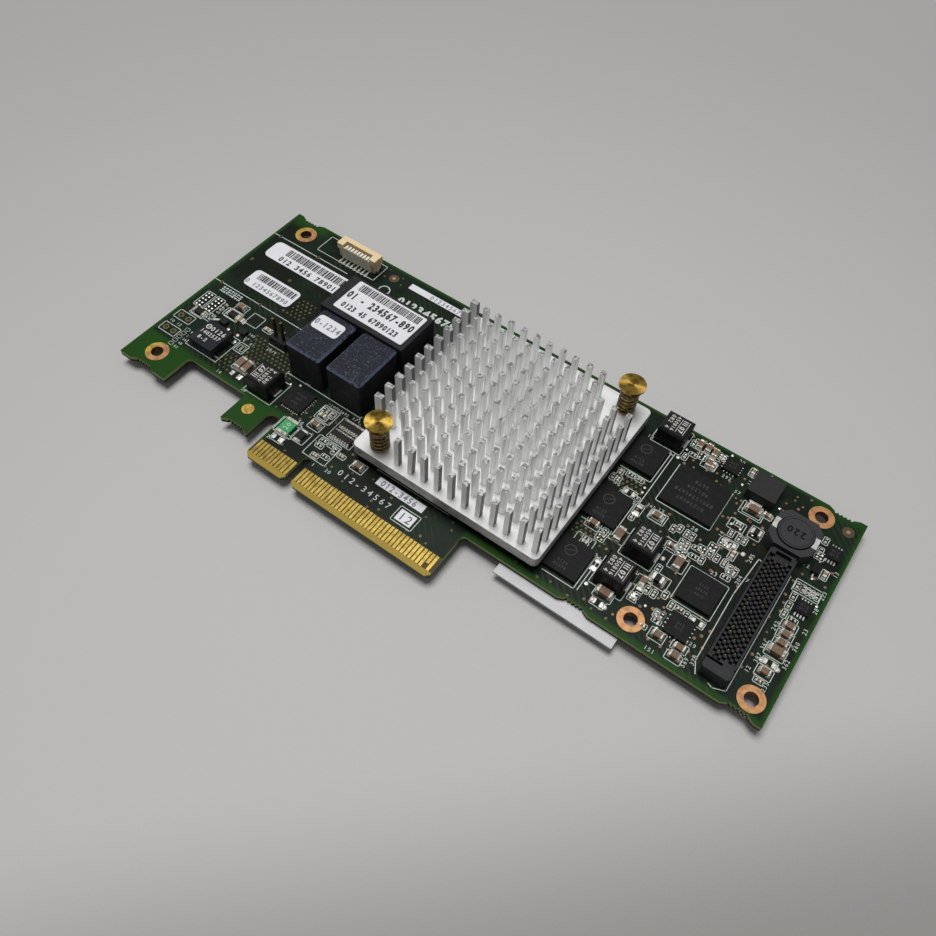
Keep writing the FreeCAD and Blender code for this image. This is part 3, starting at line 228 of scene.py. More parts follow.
def flashedCopper():
    # bare copper with a gold flash: orange where the flash is thin, brassy yellow where it is whole,
    # which is at the bracket end and on the hook tab
    looks = {"copper": "#BA895A", "copperShade": "#9C7147", "gold": "#BFA23E", "goldShade": "#94743A",
             "cloudMm": 1.2, "leftHalf": -43.0, "bracketEnd": -78.6, "hookTab": (-60, -43, -40, -20)}
    material, tree, shader, place = newMaterial("flashedCopper", looks["copper"], 0.45, 0.45)
    x = addNode(tree, "SeparateXYZ", [place])
    clouds = cloud(tree, place, looks["cloudMm"], 4.0, 0.4, 0.62)
    thin = addNode(tree, "Mix", [clouds, looks["copper"], looks["copperShade"]], **colours)
    whole = addNode(tree, "Mix", [clouds, looks["gold"], looks["goldShade"]], **colours)
    leftHalf = addNode(tree, "MapRange", [x, looks["leftHalf"], looks["leftHalf"] - 1.0], **smooth)
    atEnd = addNode(tree, "MapRange", [x, looks["bracketEnd"] + 2.4, looks["bracketEnd"]], **smooth)
    onTab = within(tree, x, x.node.outputs["Y"], looks["hookTab"], 1.0)
    share = addNode(tree, "Math", [atEnd, onTab], operation="MAXIMUM")
    share = addNode(tree, "Math", [share, leftHalf], operation="MULTIPLY")
    paint(tree, shader, share, thin, whole)
    roughen(tree, shader, clouds, 0.01, 0.4)
    return material


def extrudedAluminium():
    # extruded aluminium cross-cut into pins and etched pale: painted shade on the two drawn sides of each
    # pin, for the darker room they mirror, and on the sides of the outer pins; painted light on the base
    # between the pins; the tops carry saw marks, and the sides of the base are darker and streaked
    looks = {"pale": "#FCFCFB", "grey": "#D9D9D8", "sawn": "#ACACAB", "topTone": "#6C6C6B",
             "drawnSideShade": "#F4F4F3", "outerSawnShade": "#EEEEED", "outerDrawnShade": "#505050",
             "baseTop": "#CFCFCE", "baseInnerLight": "#DEDEDD", "rim": "#B0B0AD", "rimStreak": "#62625E",
             "lineMm": 0.16, "streakMm": 0.5}
    material, tree, shader, place = newMaterial("extrudedAluminium", looks["pale"], 0.42, 0.3)
    low, high = span("heatsink")
    shoulder = low[2] + heatsinkBaseMm
    x = addNode(tree, "SeparateXYZ", [place])
    y, z = x.node.outputs["Y"], x.node.outputs["Z"]
    steep = addNode(tree, "MapRange", [facing(tree), 0.5, 0.2], **smooth)
    raised = addNode(tree, "MapRange", [z, shoulder, shoulder + 0.3], **smooth)
    drawn = addNode(tree, "Mapping", {"Vector": place, "Scale": (1.0, 1.0, 0.05)})
    streaks = cloud(tree, drawn, looks["streakMm"], 3.0, 0.48, 0.64)
    colour = addNode(tree, "Mix", [streaks, looks["pale"], looks["grey"]], **colours)
    # painted shade: the pin sides that face along X are a little darker
    sideways = addNode(tree, "Math", [facing(tree, "X")], operation="ABSOLUTE")
    sideways = addNode(tree, "MapRange", [sideways, 0.5, 0.8], **smooth)
    colour = addNode(tree, "Mix", [sideways, colour, looks["drawnSideShade"]], **colours)
    # painted shade on the sides of the outer pins, dark on those that face along X
    outside = addNode(tree, "Mix", [sideways, looks["outerSawnShade"], looks["outerDrawnShade"]], **colours)
    # painted light: the base top is lighter in the middle, between the pins
    inner = within(tree, x, y, (low[0] + 3.2, high[0] - 5.0, low[1] + 3.2, high[1] - 1.0), 0.6)
    level = addNode(tree, "Mix", [inner, looks["baseTop"], looks["baseInnerLight"]], **colours)
    colour = addNode(tree, "Mix", [raised, level, colour], **colours)
    outer = addNode(tree, "Math", [1.0, inner], operation="SUBTRACT")
    outer = addNode(tree, "Math", [outer, steep], operation="MULTIPLY")
    colour = addNode(tree, "Mix", [outer, colour, outside], **colours)
    sawMarks = cloud(tree, place, 0.7, 2.0, 0.44, 0.52)
    sawn = addNode(tree, "Mix", [sawMarks, looks["topTone"], looks["sawn"]], **colours)
    tops = addNode(tree, "MapRange", [z, high[2] - 0.1, high[2] - 0.05], **smooth)
    colour = addNode(tree, "Mix", [tops, colour, sawn], **colours)
    streaked = addNode(tree, "Mapping", {"Vector": place, "Scale": (0.12, 0.12, 1.0)})
    rimStreaks = cloud(tree, streaked, 0.35, 4.0, 0.5, 0.66)
    rimColour = addNode(tree, "Mix", [rimStreaks, looks["rim"], looks["rimStreak"]], **colours)
    rim = addNode(tree, "MapRange", [z, shoulder + 0.1, shoulder - 0.1], **smooth)
    rim = addNode(tree, "Math", [rim, steep], operation="MULTIPLY")
    paint(tree, shader, rim, colour, rimColour)
    roughen(tree, shader, cloud(tree, drawn, looks["lineMm"]), 0.02, 0.6)
    return material


def turnedBrass():
    # brass turned on a lathe: concentric tool marks that draw the light into a bow across the head
    looks = {"bright": "#B19247", "dull": "#775F2B", "markMm": 0.16}
    material, tree, shader, place = newMaterial("turnedBrass", looks["bright"], 0.27, 1.0, Anisotropic=0.85)
    turned = addNode(tree, "Tangent", [], direction_type="RADIAL", axis="Z")
    tree.links.new(turned, shader.inputs["Tangent"])
    paint(tree, shader, cloud(tree, place, 1.2, 3.0, 0.4, 0.7), looks["bright"], looks["dull"])
    roughen(tree, shader, cloud(tree, place, looks["markMm"], 1.0), 0.006, 0.4)
    return material


def mouldedPlastic(name, colour, worn, roughness, grainMm, depthMm=0.01, **more):
    # injection or transfer moulded plastic: a fine spark-eroded grain, a shade lighter where it is rubbed
    material, tree, shader, place = newMaterial(name, colour, roughness, 0.0, **more)
    paint(tree, shader, cloud(tree, place, grainMm * 14, 4.0, 0.45, 0.75), colour, worn)
    roughen(tree, shader, cloud(tree, place, grainMm), depthMm, 0.6)
    return material


def speckledPlastic():
    # glass-filled nylon, black with a dusty blue-grey top where the fibres and fine wear show, and a
    # patchy paler line along the chamfer round it, a painted highlight
    looks = {"side": "#242427", "sideWorn": "#303034", "topDark": "#0D0F15", "topLight": "#303441",
             "chamferDark": "#1E212B", "chamfer": "#4C5265", "speckMm": 0.36, "patchMm": 3.0}
    material, tree, shader, place = newMaterial("speckledPlastic", looks["side"], 0.5,
                                                Specular_IOR_Level=0.15)
    flat = facing(tree)
    specks = cloud(tree, place, looks["speckMm"], 5.0, 0.4, 0.62)
    patches = cloud(tree, place, looks["patchMm"], 3.0, 0.3, 0.7)
    patches = addNode(tree, "Math", [patches, 0.22], operation="MULTIPLY")
    specks = addNode(tree, "Math", [specks, 0.75, patches], operation="MULTIPLY_ADD")
    face = addNode(tree, "Mix", [specks, looks["topDark"], looks["topLight"]], **colours)
    # painted highlight: the chamfer paler, in patches
    wearAndSheen = cloud(tree, place, 1.2, 3.0, 0.3, 0.5)
    chamferHighlight = addNode(tree, "Mix", [wearAndSheen, looks["chamferDark"], looks["chamfer"]], **colours)
    level = addNode(tree, "MapRange", [flat, 0.9, 0.98], **smooth)
    lit = addNode(tree, "Mix", [level, chamferHighlight, face], **colours)
    wearAndSheen = cloud(tree, place, 1.6, 4.0, 0.45, 0.7)
    side = addNode(tree, "Mix", [wearAndSheen, looks["side"], looks["sideWorn"]], **colours)
    paint(tree, shader, addNode(tree, "MapRange", [flat, 0.3, 0.5], **smooth), side, lit)
    roughen(tree, shader, specks, 0.02)
    return material


def labelStock(name, colour, shade):
    # coated paper label: flat white, with a faint mottle and a soft satin
    material, tree, shader, place = newMaterial(name, colour, 0.5)
    paint(tree, shader, cloud(tree, place, 1.5, 3.0, 0.0, 1.0), colour, shade)
    roughen(tree, shader, cloud(tree, place, 0.1), 0.004, 0.3)
    return material


def ink(name, colour, thin, roughness=0.6, **more):
    # printed ink: it lies on the surface and is a little uneven in strength
    material, tree, shader, place = newMaterial(name, colour, roughness, **more)
    paint(tree, shader, cloud(tree, place, 0.3, 2.0, 0.4, 0.8), colour, thin)
    return material


def bakedCeramic(name, colour, speck, grainMm=0.25):
    # fired ceramic, sawn to size: matt, with a grain of slightly different tone
    material, tree, shader, place = newMaterial(name, colour, 0.55, Specular_IOR_Level=0.18)
    paint(tree, shader, cloud(tree, place, grainMm, 3.0), colour, speck)
    roughen(tree, shader, cloud(tree, place, grainMm / 2), 0.01)
    return material


board = solderMask()
# metals: dull yellow gold, bright tin and nickel with a cloudy shine, solder with duller patches, bare
# copper, steel and old gold browned by age, and the cooler's two metals, told with their functions
goldPlate = platedMetal("goldPlate", "#9E8744", "#7E6B32", 0.4, 1.5)
tinPlate = platedMetal("tinPlate", "#DEDEDB", "#BFBFBB", 0.32, 0.8, 0.7)
solder = platedMetal("reflowedSolder", "#F0EFEA", "#B4B0A6", 0.3, 0.4, 0.5)
dullSolder = platedMetal("dullSolder", "#DCD8CC", "#7C7566", 0.3, 0.5, 0.55)
bareCopper = flashedCopper()
viaCopper = platedMetal("viaCopper", "#6C6037", "#4C4426", 0.45, 0.8, 0.4)
bareDots = platedMetal("bareCopperDots", "#8A6648", "#5C432F", 0.45, 0.8, 0.35)
boreCopper = platedMetal("platedBore", "#7A4630", "#4A2A1E", 0.5, 0.8, 0.5)
springSteel = platedMetal("springSteel", "#92815F", "#4A4030", 0.3, 0.6)
agedGold = platedMetal("agedGold", "#7B683E", "#4E4329", 0.4, 0.8)
nickel = platedMetal("nickelLid", "#BEBEBC", "#A5A5A2", 0.35, 3.0)
aluminium = extrudedAluminium()
brass = turnedBrass()
speckled = speckledPlastic()
# mouldings: satin black nylons and polymers, warm ivory nylon that lets a little light in, and the dull
# near-black epoxy of chips and chokes
blackNylon = mouldedPlastic("blackNylon", "#1E1E21", "#2B2B2F", 0.4, 0.12, Specular_IOR_Level=0.2)
socketPlastic = mouldedPlastic("liquidCrystalPolymer", "#17171B", "#24242A", 0.5, 0.1,
                               Specular_IOR_Level=0.3)
# a darker copy of the socket plastic for the floor of its wells: painted shade
wellShade = mouldedPlastic("paintedWellShade", "#0A0A0B", "#101012", 0.7, 0.1)
# a near-black fill for small holes and pits: painted shade for the dark inside them
holeShade = mouldedPlastic("paintedHoleShade", "#0B0906", "#17120B", 0.7, 0.4)
bareLaminate = mouldedPlastic("bareLaminate", "#3A3118", "#4A3F22", 0.5, 0.3)
ivoryNylon = mouldedPlastic("ivoryNylon", "#DFC79B", "#E9D6AF", 0.45, 0.2, Subsurface_Weight=0.15,
                            Subsurface_Scale=0.001)
greyNylon = mouldedPlastic("thinNylonWall", "#C5C2AF", "#D3D0BD", 0.4, 0.2)
paleNylon = mouldedPlastic("paleNylon", "#E8E1CC", "#F0EADA", 0.4, 0.2)
scuffed = mouldedPlastic("scuffedNylon", "#3E4352", "#4B5162", 0.5, 0.2)
chipEpoxy = mouldedPlastic("chipEpoxy", "#131314", "#1C1C1D", 0.5, 0.09, Specular_IOR_Level=0.12)
chokeEpoxy = mouldedPlastic("chokeEpoxy", "#0B0B0C", "#161618", 0.42, 0.2, 0.02, Specular_IOR_Level=0.2)
pottedCore = mouldedPlastic("pottedCore", "#171820", "#242632", 0.4, 0.2, Specular_IOR_Level=0.2)
ferrite = bakedCeramic("ferrite", "#242425", "#2D2D2E")
drumFerrite = bakedCeramic("lacqueredFerrite", "#303032", "#39393C")
# green laminate under the lid and the grey pad on it; fired ceramics, matt brown, buff and glazed black
packageGreen = mouldedPlastic("chipSubstrate", "#1C3A22", "#234529", 0.4, 0.2)
thermalGrease = mouldedPlastic("thermalPad", "#7C8087", "#8B8F96", 0.8, 0.3)
capCeramic = bakedCeramic("capacitorCeramic", "#7C6453", "#6A5444", 0.4)
capBuff = bakedCeramic("buffCapacitor", "#94805F", "#7E6B4E", 0.4)
resistorGlaze = bakedCeramic("resistorGlaze", "#141413", "#1F1F1E", 0.4)
fuseGreen = mouldedPlastic("fusePolymer", "#1F8A4C", "#2B9C5B", 0.4, 0.15)
# white paper and what is printed on it and on the board: screened white, black, grey and laser marks
paper = labelStock("labelStock", "#DEDEE1", "#D2D2D6")
# a darker copy of the label stock for the label that sticks out from under the board: painted shade
shadedPaper = labelStock("shadedLabelStock", "#C9C9CA", "#BDBDBF")
whiteInk = ink("screenedWhite", "#C2CCC4", "#98A299")
blackInk = ink("labelBlack", "#0C0C0E", "#17171A")
coilInkAndShade = ink("coilNumberAndGrooveShade", "#0B0B0C", "#141415", 0.8, Specular_IOR_Level=0.05)
greyInk = ink("labelGrey", "#6E6E74", "#8A8A90")
laserMark = ink("laserMark", "#3C3C3E", "#2E2E30", 0.7)
partPrint = ink("padPrintedWhite", "#CBC9C1", "#A3A19A")
print("materials ready")

# which material each CAD node wears
finishes = (
    (board, "circuit_board"),
    (goldPlate, "edge_contacts_top edge_contacts_bottom data_port_contacts mezzanine_contacts"),
    (bareCopper, "mounting_hole_rings fiducial_pads"),
    (packageGreen, "controller_chip"),
    (nickel, "controller_lid"),
    (thermalGrease, "thermal_pad"),
    (aluminium, "heatsink"),
    (brass, "push_pin_front push_pin_rear"),
    (springSteel, "push_pin_spring_front push_pin_spring_rear"),
    (blackNylon, "data_port_hood data_port_tongues jumper_header_base"),
    (speckled, "data_port_block_left data_port_block_right"),
    (tinPlate, "data_port_tails fan_header_pins power_inductor_clips choke_terminals chip_leads"),
    (ivoryNylon, "fan_header_housing"),
    (agedGold, "jumper_header_pins"),
    (socketPlastic, "mezzanine_socket"),
    (drumFerrite, "power_inductor_core power_inductor_drum"),
    (chokeEpoxy, " ".join(chokes)),
    (chipEpoxy, " ".join(memoryChips)),
    (chipEpoxy, "flash_chip logic_chip clock_chip regulator_chips eight_lead_chips transistor"),
    (ferrite, "flat_inductor"),
    (pottedCore, "line_transformer"),
    (capCeramic, "ceramic_capacitors"),
    (resistorGlaze, "ceramic_resistors resistor_arrays"),
    (fuseGreen, "resettable_fuse"),
    (solder, "plated_ends"),
    (paper, "label_strip_top label_strip_foot number_label port_label block_label"),
    (paper, "barcode_label_long barcode_label_short"),
    (shadedPaper, "underside_label"),
)
for material, nodes in finishes:
    for name in nodes.split():
        data = cadNodes[name].data
        if not data.materials:
            data.materials.append(material)
        for slot in cadNodes[name].material_slots:
            slot.material = material


glyphs = {}  # figures already made, by figure and boldness


def glyph(figure, bold):  # one printed figure as a thin solid, one unit high and centred on the origin
    if (figure, bold) not in glyphs:
        curve = bpy.data.curves.new("figure", "FONT")
        curve.body = figure
        curve.resolution_u = 2
        curve.offset = bold
        curve.extrude = 0.5
        holder = bpy.data.objects.new("figure", curve)
        bpy.context.scene.collection.objects.link(holder)
        mesh = holder.evaluated_get(bpy.context.evaluated_depsgraph_get()).to_mesh()
        height = 0.729  # of a figure in the font's own units
        left = min(vertex.co.x for vertex in mesh.vertices)
        right = max(vertex.co.x for vertex in mesh.vertices)
        points = [((vertex.co.x - (left + right) / 2) / height, vertex.co.y / height - 0.5, vertex.co.z)
                  for vertex in mesh.vertices]
        glyphs[(figure, bold)] = (points, [list(face.vertices) for face in mesh.polygons])
        bpy.data.objects.remove(holder)
        bpy.data.curves.remove(curve)
    return glyphs[(figure, bold)]


def corners(x0, x1, y0, y1):  # of a box in plan, counter-clockwise
    return [(x0, y0), (x1, y0), (x1, y1), (x0, y1)]


def around(sides):  # the cosine and sine of each step round a circle
    return [(math.cos(i * math.tau / sides), math.sin(i * math.tau / sides)) for i in range(sides)]


class Shape:  # points in millimetres and the faces between them
    def __init__(self):
        self.points = []
        self.faces = []

    def taper(self, base, roof, low, high):  # an outline in plan, counter-clockwise, rising to another
        start, count = len(self.points), len(base)
        self.points += [(x, y, low) for x, y in base] + [(x, y, high) for x, y in roof]
        self.faces.append([start + i for i in reversed(range(count))])
        self.faces.append([start + count + i for i in range(count)])
        for i in range(count):
            j = (i + 1) % count
            self.faces.append([start + i, start + j, start + count + j, start + count + i])

    def prism(self, outline, low, high):  # an outline in plan, counter-clockwise, drawn straight up
        self.taper(outline, outline, low, high)

    def block(self, x0, x1, y0, y1, low, high):
        self.prism(corners(x0, x1, y0, y1), low, high)

    def bar(self, start, end, width, low, high):  # a straight stroke with square ends
        (x0, y0), (x1, y1) = start, end
        length = math.hypot(x1 - x0, y1 - y0) or 1.0
        along = ((x1 - x0) / length * width / 2, (y1 - y0) / length * width / 2)
        across = (-along[1], along[0])
        ends = [(x0, y0, -1, -1), (x1, y1, 1, -1), (x1, y1, 1, 1), (x0, y0, -1, 1)]
        self.prism([(x + a * along[0] + c * across[0], y + a * along[1] + c * across[1])
                    for x, y, a, c in ends], low, high)

    def line(self, points, width, low, high):
        for start, end in zip(points, points[1:]):
            self.bar(start, end, width, low, high)

    def frame(self, x0, x1, y0, y1, width, low, high):
        self.line([(x0, y0), (x1, y0), (x1, y1), (x0, y1), (x0, y0)], width, low, high)

    def disc(self, x, y, radius, low, high, sides=16):
        self.prism([(x + radius * c, y + radius * s) for c, s in around(sides)], low, high)

    def ring(self, x, y, inner, outer, low, high, sides=20):  # a square-edged tube, upright
        start = len(self.points)
        section = ((inner, low), (outer, low), (outer, high), (inner, high))
        for c, s in around(sides):
            self.points += [(x + r * c, y + r * s, z) for r, z in section]
        for i in range(sides):
            a, b = start + 4 * i, start + 4 * ((i + 1) % sides)
            self.faces += [[a + k, b + k, b + (k + 1) % 4, a + (k + 1) % 4] for k in range(4)]

    def numerals(self, text, x, y, height, angle, low, high, bold=0.0, squeeze=1.0):
        # plain printed figures, centred on x, y and turned by angle in degrees
        turn = math.radians(angle)
        c, s = math.cos(turn), math.sin(turn)
        step = 0.87 * height * squeeze  # from one figure to the next
        for index, figure in enumerate(text):
            if figure == " ":
                continue
            points, faces = glyph(figure, bold)
            start = len(self.points)
            aside = (index - (len(text) - 1) / 2) * step
            for u, v, w in points:
                dx, dy = aside + u * height * squeeze, v * height
                self.points.append((x + dx * c - dy * s, y + dx * s + dy * c, low if w < 0 else high))
            self.faces += [[start + k for k in face] for face in faces]

    def piece(self, name, material, slotName, bevel=0.0, replaced=()):
        # one object of all that was added, its sharp edges eased by bevel millimetres
        mesh = bpy.data.meshes.new(name)
        mesh.from_pydata([(x * mm, y * mm, z * mm) for x, y, z in self.points], [], self.faces)
        mesh.materials.append(material)
        made = bpy.data.objects.new(name, mesh)
        bpy.context.scene.collection.objects.link(made)
        if bevel:
            edge = made.modifiers.new("softEdges", "BEVEL")
            edge.width = bevel * mm
            edge.segments = 2
            edge.limit_method = "ANGLE"
        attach(made, "root")
        if replaced:
            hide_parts(*replaced)
        return made


def roundedOutline(x0, x1, y0, y1, radius, steps=5):  # a box in plan with round corners
    outline = []
    for cx, cy, first in ((x1 - radius, y0 + radius, -90), (x1 - radius, y1 - radius, 0),
                          (x0 + radius, y1 - radius, 90), (x0 + radius, y0 + radius, 180)):
        for i in range(steps + 1):
            angle = math.radians(first + 90 * i / steps)
            outline.append((cx + radius * math.cos(angle), cy + radius * math.sin(angle)))
    return outline


def turnAbout(shape, start, x, y, degrees):  # turns the points added since start
    c, s = math.cos(math.radians(degrees)), math.sin(math.radians(degrees))
    for i in range(start, len(shape.points)):
        px, py, pz = shape.points[i]
        shape.points[i] = (x + (px - x) * c - (py - y) * s, y + (px - x) * s + (py - y) * c, pz)


def camera():
    # stands in front and to the right, above the card, a little rolled; place in mm, lens on a 36 mm sensor
    view = {"place": (63.08, -101.38, 162.08 + top), "right": (0.81122, 0.58306, 0.04439),
            "up": (-0.50184, 0.65523, 0.56467), "lens": 33.36}
    data = bpy.data.cameras.new("camera")
    data.lens = view["lens"]
    data.sensor_width = 36.0
    data.clip_start = 0.005
    right, up = Vector(view["right"]).normalized(), Vector(view["up"]).normalized()
    back = right.cross(up)
    made = bpy.data.objects.new("camera", data)
    made.matrix_world = Matrix((right, up, back)).transposed().to_4x4()
    made.matrix_world.translation = Vector(view["place"]) * mm
    bpy.context.scene.collection.objects.link(made)
    bpy.context.scene.camera = made


def floorAndLight():
    # a painted floor, a dim even room and one broad soft lamp overhead; lampSize and lampPlace in metres
    room = {"floor": "#B9B8B6", "floorFarDim": "#A4A3A1", "shade": "#8E8D8A", "backdrop": "#A2A2A0",
            "world": "#E9EAEC", "worldStrength": 0.26, "lampWatts": 22.0, "lampSize": 0.85,
            "lampPlace": (-0.22, 0.12, 1.6), "floorReach": 6.0}
    material, tree, shader, place = newMaterial("paintedFloor", room["floor"], 0.6, Specular_IOR_Level=0.2)
    # painted light and shade: paler round the card and duller away from it, with a painted shadow where
    # somebody stands close by
    away = addNode(tree, "VectorMath", [place, (30.0, -50.0, 0.0)], operation="DISTANCE")
    away = addNode(tree, "MapRange", [away, 40.0, 300.0], **smooth)
    colour = addNode(tree, "Mix", [away, room["floor"], room["floorFarDim"]], **colours)
    aside = addNode(tree, "VectorMath", [place, (0.707, -0.707, 0.0)], operation="DOT_PRODUCT")
    near = addNode(tree, "VectorMath", [place, (80.0, -80.0, 0.0)], operation="DISTANCE")
    aside = addNode(tree, "MapRange", [aside, 68.0, 112.0], **smooth)
    near = addNode(tree, "MapRange", [near, 170.0, 70.0], **smooth)
    paint(tree, shader, addNode(tree, "Math", [aside, near], operation="MULTIPLY"), colour, room["shade"])
    roughen(tree, shader, cloud(tree, place, 0.8, 3.0), 0.05, 0.3)
    mesh = bpy.data.meshes.new("floor")
    reach = room["floorReach"]
    mesh.from_pydata([(x, y, 0) for x, y in corners(-reach, reach, -reach, reach)], [], [[0, 1, 2, 3]])
    mesh.materials.append(material)
    floor = bpy.data.objects.new("floor", mesh)
    bpy.context.scene.collection.objects.link(floor)
    world = bpy.data.worlds.new("studio")
    world.use_nodes = True
    tree = world.node_tree
    sky = tree.nodes["Background"]
    sky.inputs["Color"].default_value = linear(room["world"])
    sky.inputs["Strength"].default_value = room["worldStrength"]
    backdrop = addNode(tree, "Background", {"Color": room["backdrop"]})
    rays = addNode(tree, "LightPath", []).node.outputs  # the camera, metal and glass see the backdrop
    seen = 0.0
    for kind in ("Is Camera Ray", "Is Glossy Ray", "Is Transmission Ray"):
        seen = addNode(tree, "Math", [seen, rays[kind]], operation="MAXIMUM")
    mixed = addNode(tree, "MixShader", [seen, sky.outputs[0], backdrop])
    tree.links.new(mixed, tree.nodes["World Output"].inputs["Surface"])
    bpy.context.scene.world = world
    lamp = bpy.data.lights.new("softbox", "AREA")
    lamp.shape = "DISK"
    lamp.size = room["lampSize"]
    lamp.energy = room["lampWatts"]
    made = bpy.data.objects.new("softbox", lamp)
    made.location = room["lampPlace"]
    made.rotation_euler = (-Vector(room["lampPlace"])).to_track_quat("-Z", "Y").to_euler()
    bpy.context.scene.collection.objects.link(made)


camera()
floorAndLight()
bpy.context.scene.view_settings.view_transform = "Standard"
print("camera and light ready")


def heatsink():
    # a base plate with eased corners, and pins that each lean a hair, as sawn pins do; one is bent
    sink = {"cornerMm": 1.3, "pitchMm": 3.6, "firstPinMm": (1.7, 2.0), "lastPin": 13, "leanDegrees": 0.5,
            "bentPin": (9, 0), "bentDegrees": 3.2, "plateEdgeMm": 0.16, "pinEdgeMm": 0.06}
    low, high = span("heatsink")
    shoulder = low[2] + heatsinkBaseMm
    firstX, firstY = high[0] - sink["firstPinMm"][0], low[1] + sink["firstPinMm"][1]
    feet = {}
    for vertex in cadNodes["heatsink"].data.vertices:
        x, y, z = (value / mm for value in vertex.co)
        if z > shoulder + 0.5:
            spot = (round((firstX - x) / sink["pitchMm"]), round((y - firstY) / sink["pitchMm"]))
            xs, ys = feet.setdefault(spot, ([], []))
            xs.append(x)
            ys.append(y)
    base, pins = Shape(), Shape()
    base.prism(roundedOutline(low[0], high[0], low[1], high[1], sink["cornerMm"], 4), low[2], shoulder)
    dice = random.Random(3)
    for (column, row), (xs, ys) in sorted(feet.items()):
        leanX, leanY = (math.tan(math.radians(dice.gauss(0, sink["leanDegrees"]))) for _ in range(2))
        if (column, row) == sink["bentPin"]:
            leanX = math.tan(math.radians(sink["bentDegrees"]))
        # the outermost pins stay upright along their own side, inside the CAD model's box
        shiftX = (high[2] - shoulder) * (leanX if 0 < column < sink["lastPin"] else 0.0)
        shiftY = (high[2] - shoulder) * (leanY if 0 < row < sink["lastPin"] else 0.0)
        foot = corners(min(xs), max(xs), min(ys), max(ys))
        pins.taper(foot, [(x + shiftX, y + shiftY) for x, y in foot], shoulder - 0.1, high[2])
    base.piece("heatsink_base", aluminium, "aluminium", sink["plateEdgeMm"], ("heatsink",))
    pins.piece("heatsink_pins", aluminium, "aluminium", sink["pinEdgeMm"])


def springs():  # the coils under the push pins' heads, with closed end turns
    coil = {"wireMm": 0.48, "turns": 6.0, "stepsPerTurn": 28, "closedShare": 0.12, "closedRise": 0.08,
            "gapMm": 0.05}
    for side in ("front", "rear"):
        low, high = span("push_pin_spring_" + side)
        x, y = middle(low, high)
        radius = (high[0] - low[0]) / 2 - coil["wireMm"] / 2
        count = int(coil["turns"] * coil["stepsPerTurn"])
        curve = bpy.data.curves.new("coil_" + side, "CURVE")
        curve.dimensions = "3D"
        curve.bevel_depth = coil["wireMm"] / 2 * mm
        curve.bevel_resolution = 3
        curve.use_fill_caps = True
        wire = curve.splines.new("POLY")
        wire.points.add(count)
        foot = low[2] + coil["wireMm"] / 2 + coil["gapMm"]
        room = high[2] - low[2] - coil["wireMm"] - 2 * coil["gapMm"]
        for i in range(count + 1):
            share = i / count
            angle = math.tau * coil["turns"] * share
            rise = min(1.0, max(0.0, (share - coil["closedShare"]) / (1 - 2 * coil["closedShare"])))
            height = foot + room * (coil["closedRise"] * share + (1 - coil["closedRise"]) * rise)
            wire.points[i].co = ((x + radius * math.cos(angle)) * mm, (y + radius * math.sin(angle)) * mm,
                                 height * mm, 1)
        curve.materials.append(springSteel)
        made = bpy.data.objects.new("coil_spring_" + side, curve)
        bpy.context.scene.collection.objects.link(made)
        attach(made, "root")
        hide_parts("push_pin_spring_" + side)


def portBlocks():
    # each block of the data port, with a chamfer along its upper and upright edges, the upper one painted
    # pale by its material as a highlight, and with flecks and scratches on its top
    block = {"uprightMm": 0.4, "upperMm": 0.5, "flecks": 100, "fleckMm": (0.1, 0.1, 0.15, 0.3),
             "fleckWidthMm": 0.13, "scratches": 5, "scratchMm": (0.6, 1.4), "scratchWidthMm": 0.07}
    dice = random.Random(21)
    pale, dark = Shape(), Shape()
    for side in ("left", "right"):
        low, high = span("data_port_block_" + side)

        def sides(shrink):
            return roundedOutline(low[0] + shrink, high[0] - shrink, low[1] + shrink, high[1] - shrink / 4,
                                  block["uprightMm"], 1)

        def spot(margin):  # a place on the top, and a direction
            x = dice.uniform(low[0] + margin, high[0] - margin)
            y = dice.uniform(low[1] + margin, high[1] - margin)
            return x, y, dice.uniform(0, math.pi)

        def scratch(shape, place, reach, width, proud):  # a thin stroke, reach to each side of its place
            x, y, turn = place
            alongX, alongY = reach * math.cos(turn), reach * math.sin(turn)
            shape.bar((x - alongX, y - alongY), (x + alongX, y + alongY), width, high[2] - sunk,
                      high[2] + proud)

        shape, shoulder = Shape(), high[2] - block["upperMm"]
        shape.prism(sides(0.0), low[2], shoulder)
        shape.taper(sides(0.0), sides(block["upperMm"]), shoulder, high[2])
        shape.piece("port_block_" + side, speckled, "connector_grey", 0.0, ("data_port_block_" + side,))
        for _ in range(block["flecks"]):
            place, reach = spot(0.5), dice.choice(block["fleckMm"])
            scratch(dice.choice((pale, pale, dark)), place, reach, block["fleckWidthMm"], 0.012)
        for _ in range(block["scratches"]):
            place, reach = spot(2.0), dice.uniform(*block["scratchMm"])
            scratch(pale, place, reach, block["scratchWidthMm"], 0.014)
    pale.piece("block_scratches", scuffed, "connector_grey")
    # dark flecks: painted shade in small pits
    dark.piece("block_pits", holeShade, "connector_grey")


def boreLinings():  # the plating down each mounting hole
    bore = {"insideMm": 0.06, "outsideMm": 0.1, "proudMm": 0.03, "sides": 48}
    linings = Shape()
    rings = cadNodes["mounting_hole_rings"].data.vertices
    points = [(vertex.co.x / mm, vertex.co.y / mm) for vertex in rings]
    for low, high in islands("mounting_hole_rings"):
        x, y = middle(low, high)
        if high[2] > top:
            radius = min(math.hypot(px - x, py - y) for px, py in points)
            linings.ring(x, y, radius - bore["insideMm"], radius + bore["outsideMm"],
                         boardLow[2] - bore["proudMm"], top + bore["proudMm"], bore["sides"])
    linings.piece("bore_linings", boreCopper, "copper")


heatsink()
springs()
portBlocks()
boreLinings()
print("heatsink, springs, port blocks and bores made")


